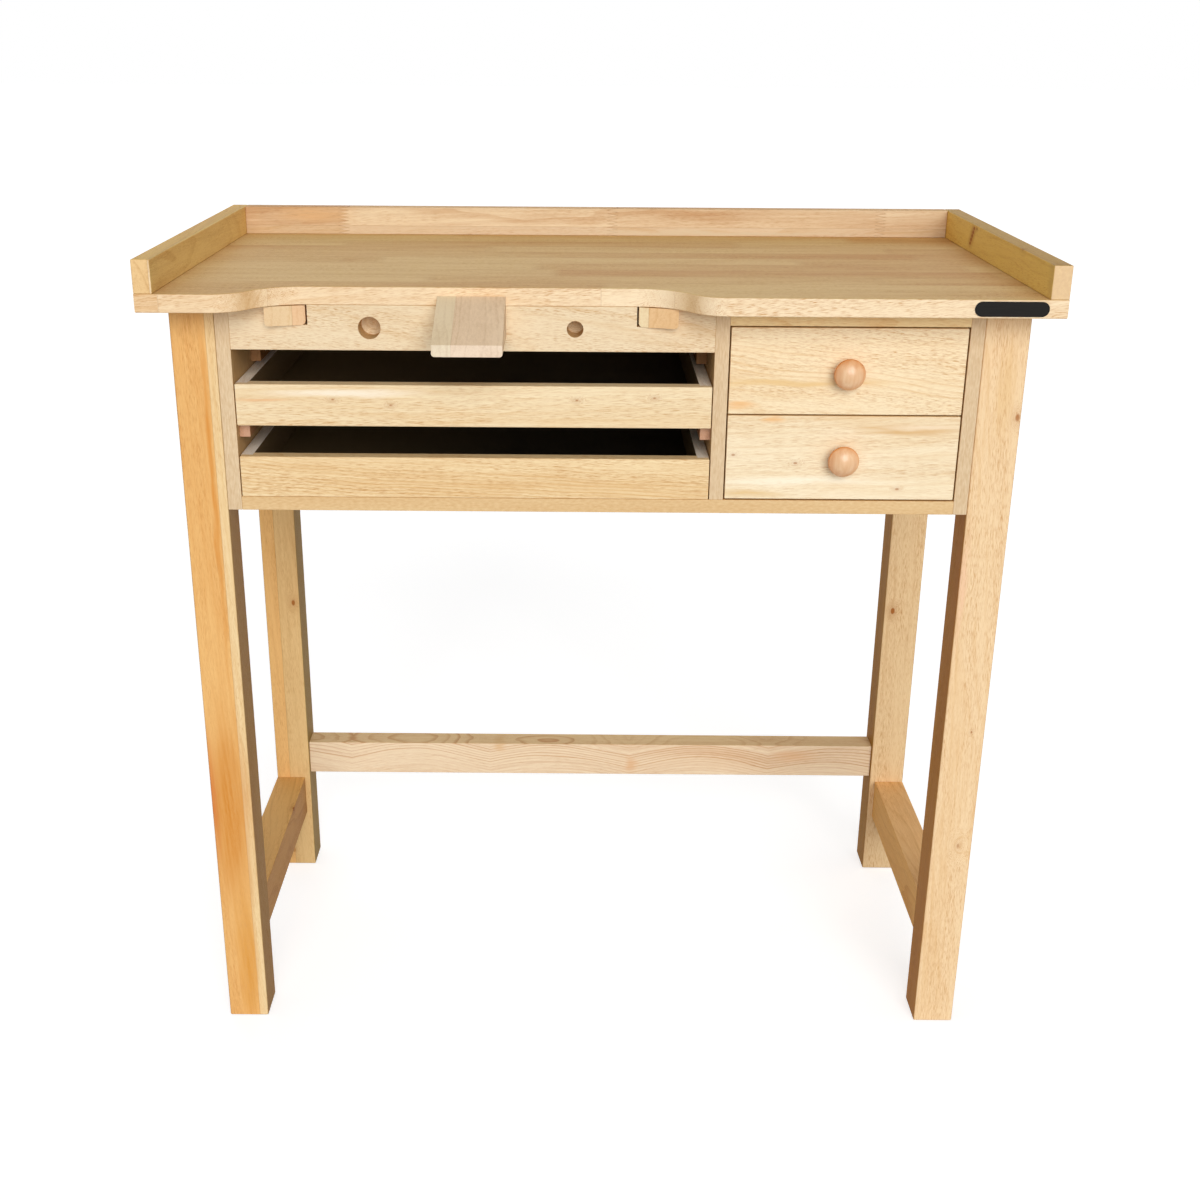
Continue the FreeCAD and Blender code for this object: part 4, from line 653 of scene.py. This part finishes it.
def dress_plate():
    """Satin black enamel on a small steel plate, left blank: faint rubbed streaks, duller where rubbed."""
    streak_repeats = (60, 60, 900)  # 17 mm long and 1 mm high
    material, tree, shader = new_material("satin_black_enamel")
    coordinates = add(tree, "ShaderNodeTexCoord")
    rubbed = noise(tree, coordinates.outputs["Object"], streak_repeats, 3.0)
    colour = add(tree, "ShaderNodeMix", {"Factor": rubbed, "A": linear("0E0D0C"), "B": linear("1E1C1A")},
                 data_type="RGBA")
    link(tree, colour, shader.inputs["Base Color"])
    dull = add(tree, "ShaderNodeMapRange", {"Value": rubbed, "To Min": 0.45, "To Max": 0.6})
    link(tree, dull, shader.inputs["Roughness"])
    shader.inputs["Specular IOR Level"].default_value = 0.12
    paint(material, "blank_name_plate")


def make_zinc():
    """Bright zinc plating on steel: pale blue-grey metal, a little cloudy."""
    material, tree, shader = new_material("zinc_plated_steel")
    coordinates = add(tree, "ShaderNodeTexCoord")
    cloud = add(tree, "ShaderNodeTexNoise",
                {"Vector": coordinates.outputs["Object"], "Scale": 700.0, "Detail": 3.0})
    colour = add(tree, "ShaderNodeMix", {"Factor": cloud, "A": linear("C9CBCB"), "B": linear("A9ABA8")},
                 data_type="RGBA")
    link(tree, colour, shader.inputs["Base Color"])
    worn = add(tree, "ShaderNodeMapRange", {"Value": cloud, "To Min": 0.22, "To Max": 0.42})
    link(tree, worn, shader.inputs["Roughness"])
    shader.inputs["Metallic"].default_value = 1.0
    return material


# -------------------- fasteners


def islands(node):
    """The separate solids of a node, each as a list of its points."""
    copy = bmesh.new()
    copy.from_mesh(NODES[node].data)
    bmesh.ops.remove_doubles(copy, verts=copy.verts, dist=0.01 * MM)
    left, found = set(copy.verts), []
    while left:
        seen, todo = set(), [left.pop()]
        while todo:
            vertex = todo.pop()
            if vertex in seen:
                continue
            seen.add(vertex)
            todo += [edge.other_vert(vertex) for edge in vertex.link_edges]
        left -= seen
        found.append([vertex.co.copy() for vertex in seen])
    copy.free()
    return found


def head_and_way(points):
    """Where a fastener's head face is, which way its shank points, and its length."""
    low = Vector(min(p[i] for p in points) for i in range(3))
    high = Vector(max(p[i] for p in points) for i in range(3))
    size, middle = high - low, (low + high) / 2
    axis = max(range(3), key=lambda i: size[i])

    def spread_at(end):
        offsets = [p - middle for p in points if abs(p[axis] - end[axis]) < 0.3 * MM]
        for offset in offsets:
            offset[axis] = 0
        return max(offset.length for offset in offsets)

    head, tip = (low, high) if spread_at(low) > spread_at(high) else (high, low)
    face = middle.copy()
    face[axis] = head[axis]
    way = Vector((0, 0, 0))
    way[axis] = 1 if tip[axis] > head[axis] else -1
    return face, way, size[axis]


def make_fastener_tree():
    """A turned fastener with a driven head, copied to every point of the mesh that it is given.

    The head's face lies on the point, and the shank runs along the point's attribute named way.
    """
    step, tip_share, facets = 0.01 * MM, 0.15, 24
    pitch, steps_a_turn = 1.8 * MM, 12
    lengths = ("Face Diameter", "Rim Diameter", "Rim Depth", "Seat Diameter", "Head Height",
               "Shank Diameter", "Length", "Point Length", "Recess Width", "Recess Depth", "Slot Width",
               "Thread Height")
    sockets = {"Points": "Geometry", **{name: "Float" for name in lengths},
               "Hexagon": "Bool", "Material": "Material", "Seed": "Int"}
    tree, given, result = new_group("driven_fastener", "GeometryNodeTree", sockets, {"Result": "Geometry"})
    size = {name: given.outputs[name] for name in lengths}

    def half(socket):
        return add(tree, "ShaderNodeMath", {0: socket, 1: 0.5}, operation="MULTIPLY")

    face, rim, seat, shank = (half(size[name]) for name in
                              ("Face Diameter", "Rim Diameter", "Seat Diameter", "Shank Diameter"))
    under = add(tree, "ShaderNodeMath", {0: size["Head Height"], 1: step}, operation="ADD")
    shoulder = add(tree, "ShaderNodeMath", {0: size["Length"], 1: size["Point Length"]},
                   operation="SUBTRACT")
    tip = add(tree, "ShaderNodeMath", {0: shank, 1: tip_share}, operation="MULTIPLY")
    profile = ((0.0, face), (size["Rim Depth"], rim), (size["Head Height"], seat), (under, shank),
               (shoulder, shank), (size["Length"], tip))

    index = add(tree, "GeometryNodeInputIndex")
    along = add(tree, "GeometryNodeIndexSwitch", {"Index": index}, data_type="FLOAT")
    radii = add(tree, "GeometryNodeIndexSwitch", {"Index": index}, data_type="FLOAT")
    for switch, column in ((along, 0), (radii, 1)):
        for _ in profile[2:]:
            switch.index_switch_items.new()
        for number, level in enumerate(profile):
            if level[column]:
                link(tree, level[column], switch.inputs[1 + number])
    line = add(tree, "GeometryNodeMeshLine", {"Count": len(profile)})
    path = add(tree, "GeometryNodeMeshToCurve", {"Mesh": line})
    height = add(tree, "ShaderNodeCombineXYZ", {"Z": along})
    placed = add(tree, "GeometryNodeSetPosition", {"Geometry": path, "Position": height})
    circle = add(tree, "GeometryNodeCurvePrimitiveCircle", {"Resolution": facets, "Radius": 1.0})
    turned = add(tree, "GeometryNodeCurveToMesh", {"Curve": placed, "Profile Curve": circle.outputs["Curve"],
                                                   "Fill Caps": True, "Scale": radii})

    deep = add(tree, "ShaderNodeMath", {0: size["Recess Depth"], 1: 2.0}, operation="MULTIPLY")
    arm = add(tree, "ShaderNodeCombineXYZ", {"X": size["Recess Width"], "Y": size["Slot Width"], "Z": deep})
    slot = add(tree, "GeometryNodeMeshCube", {"Size": arm})
    crossed = add(tree, "GeometryNodeTransform", {"Geometry": slot, "Rotation": (0, 0, pi / 2)})
    both = add(tree, "GeometryNodeJoinGeometry", {"Geometry": slot})
    link(tree, crossed, both.inputs["Geometry"])
    hexagon = add(tree, "GeometryNodeMeshCylinder", {"Vertices": 6, "Radius": half(size["Recess Width"]),
                                                     "Depth": deep})
    recess = add(tree, "GeometryNodeSwitch", {"Switch": given.outputs["Hexagon"], "False": both,
                                              "True": hexagon.outputs["Mesh"]}, input_type="GEOMETRY")
    driven = add(tree, "GeometryNodeMeshBoolean",
                 {"Mesh 1": turned, "Mesh 2": recess, "Self Intersection": True},
                 operation="DIFFERENCE", solver="EXACT")

    threaded = add(tree, "ShaderNodeMath", {0: shoulder, 1: under}, operation="SUBTRACT")
    turns = add(tree, "ShaderNodeMath", {0: threaded, 1: pitch}, operation="DIVIDE")
    spiral = add(tree, "GeometryNodeCurveSpiral",
                 {"Resolution": steps_a_turn, "Rotations": turns, "Start Radius": shank, "End Radius": shank,
                  "Height": threaded})
    ridge = add(tree, "GeometryNodeCurvePrimitiveCircle", {"Resolution": 3, "Radius": size["Thread Height"]})
    helix = add(tree, "GeometryNodeCurveToMesh",
                {"Curve": spiral, "Profile Curve": ridge.outputs["Curve"], "Fill Caps": True})
    start = add(tree, "ShaderNodeCombineXYZ", {"Z": under})
    thread = add(tree, "GeometryNodeTransform", {"Geometry": helix, "Translation": start})

    whole = add(tree, "GeometryNodeJoinGeometry", {"Geometry": driven.outputs["Mesh"]})
    link(tree, thread, whole.inputs["Geometry"])
    way = add(tree, "GeometryNodeInputNamedAttribute", {"Name": "way"}, data_type="FLOAT_VECTOR")
    aimed = add(tree, "FunctionNodeAlignRotationToVector", {"Vector": way.outputs["Attribute"]}, axis="Z")
    spots = add(tree, "GeometryNodeMeshToPoints", {"Mesh": given.outputs["Points"]})
    copies = add(tree, "GeometryNodeInstanceOnPoints",
                 {"Points": spots, "Instance": whole, "Rotation": aimed})
    chance = add(tree, "FunctionNodeRandomValue", {"Max": pi, "Seed": given.outputs["Seed"]},
                 data_type="FLOAT")
    spin = add(tree, "ShaderNodeCombineXYZ", {"Z": chance})
    spun = add(tree, "GeometryNodeRotateInstances", {"Instances": copies, "Rotation": spin})
    solid = add(tree, "GeometryNodeRealizeInstances", {"Geometry": spun})
    coloured = add(tree, "GeometryNodeSetMaterial",
                   {"Geometry": solid, "Material": given.outputs["Material"]})
    link(tree, coloured, result.inputs["Result"])
    return tree


def run_nodes(name, mesh, tree, values):
    """The plain mesh that a Geometry Nodes tree makes of a mesh."""
    piece = new_object(name, mesh)
    modifier = piece.modifiers.new("nodes", "NODES")
    modifier.node_group = tree
    for item in tree.interface.items_tree:
        if item.item_type == "SOCKET" and item.in_out == "INPUT" and item.name in values:
            modifier[item.identifier] = values[item.name]
    bpy.context.view_layer.update()
    evaluated = piece.evaluated_get(bpy.context.evaluated_depsgraph_get())
    made = bpy.data.meshes.new_from_object(evaluated)
    piece.modifiers.clear()
    piece.data = made
    return piece


def fasteners(name, node, tree, material, sizes, seed):
    """Replaces a node's plain fasteners with driven ones of the same places and lengths."""
    by_length = {}
    for points in islands(node):
        face, way, length = head_and_way(points)
        by_length.setdefault(round(length / MM), []).append((face, way))
    joined = bmesh.new()
    for length, places in sorted(by_length.items()):
        # A head's turn is drawn by its number in this list, so the list goes by place.
        places.sort(key=lambda place: [round(value / MM, 1) for value in place[0]])
        mesh = bpy.data.meshes.new(f"{name}_{length}")
        mesh.from_pydata([face for face, _ in places], [], [])
        ways = mesh.attributes.new("way", "FLOAT_VECTOR", "POINT")
        ways.data.foreach_set("vector", [value for _, way in places for value in way])
        values = {**sizes, "Length": length * MM, "Material": material, "Seed": seed}
        made = run_nodes(f"{name}_{length}", mesh, tree, values)
        joined.from_mesh(made.data)
        bpy.data.objects.remove(made)
    bmesh.ops.recalc_face_normals(joined, faces=joined.faces)
    mesh = bpy.data.meshes.new(name)
    joined.to_mesh(mesh)
    joined.free()
    mesh.materials.append(material)
    piece = new_object(name, mesh)
    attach(piece, BODY_OF[node])
    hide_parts(node)


def countersunk(head, shank, height):
    """Sizes of a cross-slotted countersunk screw."""
    return {"Face Diameter": head - 0.3 * MM, "Rim Diameter": head, "Rim Depth": 0.2 * MM,
            "Seat Diameter": shank, "Head Height": height, "Shank Diameter": 0.8 * shank,
            "Point Length": 1.3 * shank, "Recess Width": 0.58 * head, "Recess Depth": 0.6 * height,
            "Slot Width": 0.14 * head, "Thread Height": 0.1 * shank, "Hexagon": False}


def dress_fasteners():
    """Cross-slotted zinc screws, socket-headed connector bolts, and the leg inserts and cross nuts."""
    zinc = make_zinc()
    tree = make_fastener_tree()
    screws = {"wood_screws": (8 * MM, 4 * MM, 2 * MM), "carcass_screws": (10 * MM, 5 * MM, 2.5 * MM),
              "small_screws": (6 * MM, 3 * MM, 1.5 * MM)}
    for seed, (node, sizes) in enumerate(screws.items(), 1):
        fasteners(f"driven_{node}", node, tree, zinc, countersunk(*sizes), seed)
    bolt = {"Face Diameter": 14 * MM, "Rim Diameter": 15 * MM, "Rim Depth": 0.5 * MM,
            "Seat Diameter": 15 * MM, "Head Height": 2.2 * MM, "Shank Diameter": 5.6 * MM,
            "Point Length": 1 * MM, "Recess Width": 4.6 * MM, "Recess Depth": 1.8 * MM,
            "Slot Width": 1 * MM, "Thread Height": 0.2 * MM, "Hexagon": True}
    fasteners("socket_connector_bolts", "connector_bolts", tree, zinc, bolt, 4)
    pan = {"Face Diameter": 5.5 * MM, "Rim Diameter": 8 * MM, "Rim Depth": 1.2 * MM,
           "Seat Diameter": 8 * MM, "Head Height": 3 * MM, "Shank Diameter": 3.6 * MM,
           "Point Length": 1 * MM, "Recess Width": 4.4 * MM, "Recess Depth": 1.6 * MM,
           "Slot Width": 1.1 * MM, "Thread Height": 0.2 * MM, "Hexagon": False}
    for seed, drawer in enumerate(("upper_drawer", "lower_drawer"), 5):
        fasteners(f"{drawer}_pan_screw", f"{drawer}_knob_screw", tree, zinc, pan, seed)
    paint(zinc, "leg_inserts", "barrel_nuts")


# -------------------- floor, light and camera


def seen_directly(tree):
    """1 for rays that show a surface itself, in a mirror or through glass, and 0 for light that it gives."""
    path = add(tree, "ShaderNodeLightPath")
    seen = path.outputs["Is Camera Ray"]
    for kind in ("Is Glossy Ray", "Is Transmission Ray"):
        seen = add(tree, "ShaderNodeMath", {0: seen, 1: path.outputs[kind]}, operation="MAXIMUM")
    return seen


def make_floor():
    """A pale floor that looks white and keeps the bench's shadow. From below it is clear."""
    half, under, grey, glow = 30.0, -0.5 * MM, 0.6, 0.66
    corners = [(x * half, y * half, under) for x, y in ((-1, -1), (1, -1), (1, 1), (-1, 1))]
    mesh = bpy.data.meshes.new("floor")
    mesh.from_pydata(corners, [], [(0, 1, 2, 3)])
    material, tree, _ = new_material("white_floor")
    tree.nodes.clear()
    diffuse = add(tree, "ShaderNodeBsdfDiffuse", {"Color": (grey, grey, grey, 1)})
    strength = add(tree, "ShaderNodeMath", {0: seen_directly(tree), 1: glow}, operation="MULTIPLY")
    light = add(tree, "ShaderNodeEmission", {"Strength": strength})
    both = add(tree, "ShaderNodeAddShader", {0: diffuse, 1: light})
    clear = add(tree, "ShaderNodeBsdfTransparent")
    side = add(tree, "ShaderNodeNewGeometry")
    shown = add(tree, "ShaderNodeMixShader", {0: side.outputs["Backfacing"], 1: both, 2: clear})
    add(tree, "ShaderNodeOutputMaterial", {"Surface": shown})
    mesh.materials.append(material)
    new_object("floor", mesh)


def make_lights():
    """Soft studio light: a broad lamp in front and above, a weak one behind, and an even pale room."""
    for name, azimuth, elevation, softness, strength in (
        ("key", 9, 20, 40, 0.75 * pi),
        ("back", 190, 22, 60, 0.25 * pi),
    ):
        lamp = bpy.data.lights.new(name, "SUN")
        lamp.energy = strength
        lamp.angle = radians(softness)
        new_object(name, lamp).rotation_euler = (radians(90 - elevation), 0, radians(azimuth))
    room_light, white = 0.34, 1.0
    world = bpy.data.worlds.new("room")
    bpy.context.scene.world = world
    world.use_nodes = True
    tree = world.node_tree
    background = tree.nodes["Background"]
    background.inputs["Color"].default_value = (1, 1, 1, 1)
    level = add(tree, "ShaderNodeMapRange",
                {"Value": seen_directly(tree), "To Min": room_light, "To Max": white})
    link(tree, level, background.inputs["Strength"])


def make_camera():
    """Stands in front of the bench, a little above its top, and looks down at it."""
    lens = bpy.data.cameras.new("camera")
    lens.lens = 45.276
    lens.shift_x = 0.0263
    lens.shift_y = 0.0022
    camera = new_object("camera", lens)
    stand = (-0.02604, -1.84255, 1.22550)
    yaw, pitch, roll = 0.00392, -0.36751, 0.00595
    camera.matrix_world = (
        Matrix.Translation(stand) @ Matrix.Rotation(yaw, 4, "Z")
        @ Matrix.Rotation(pi / 2 + pitch, 4, "X") @ Matrix.Rotation(roll, 4, "Z")
    )
    bpy.context.scene.camera = camera


make_camera()
make_floor()
make_lights()
dress_top()
dress_boards()
dress_panels()
dress_knobs()
dress_lining()
dress_plate()
dress_fasteners()
bpy.context.scene.view_settings.view_transform = "Standard"
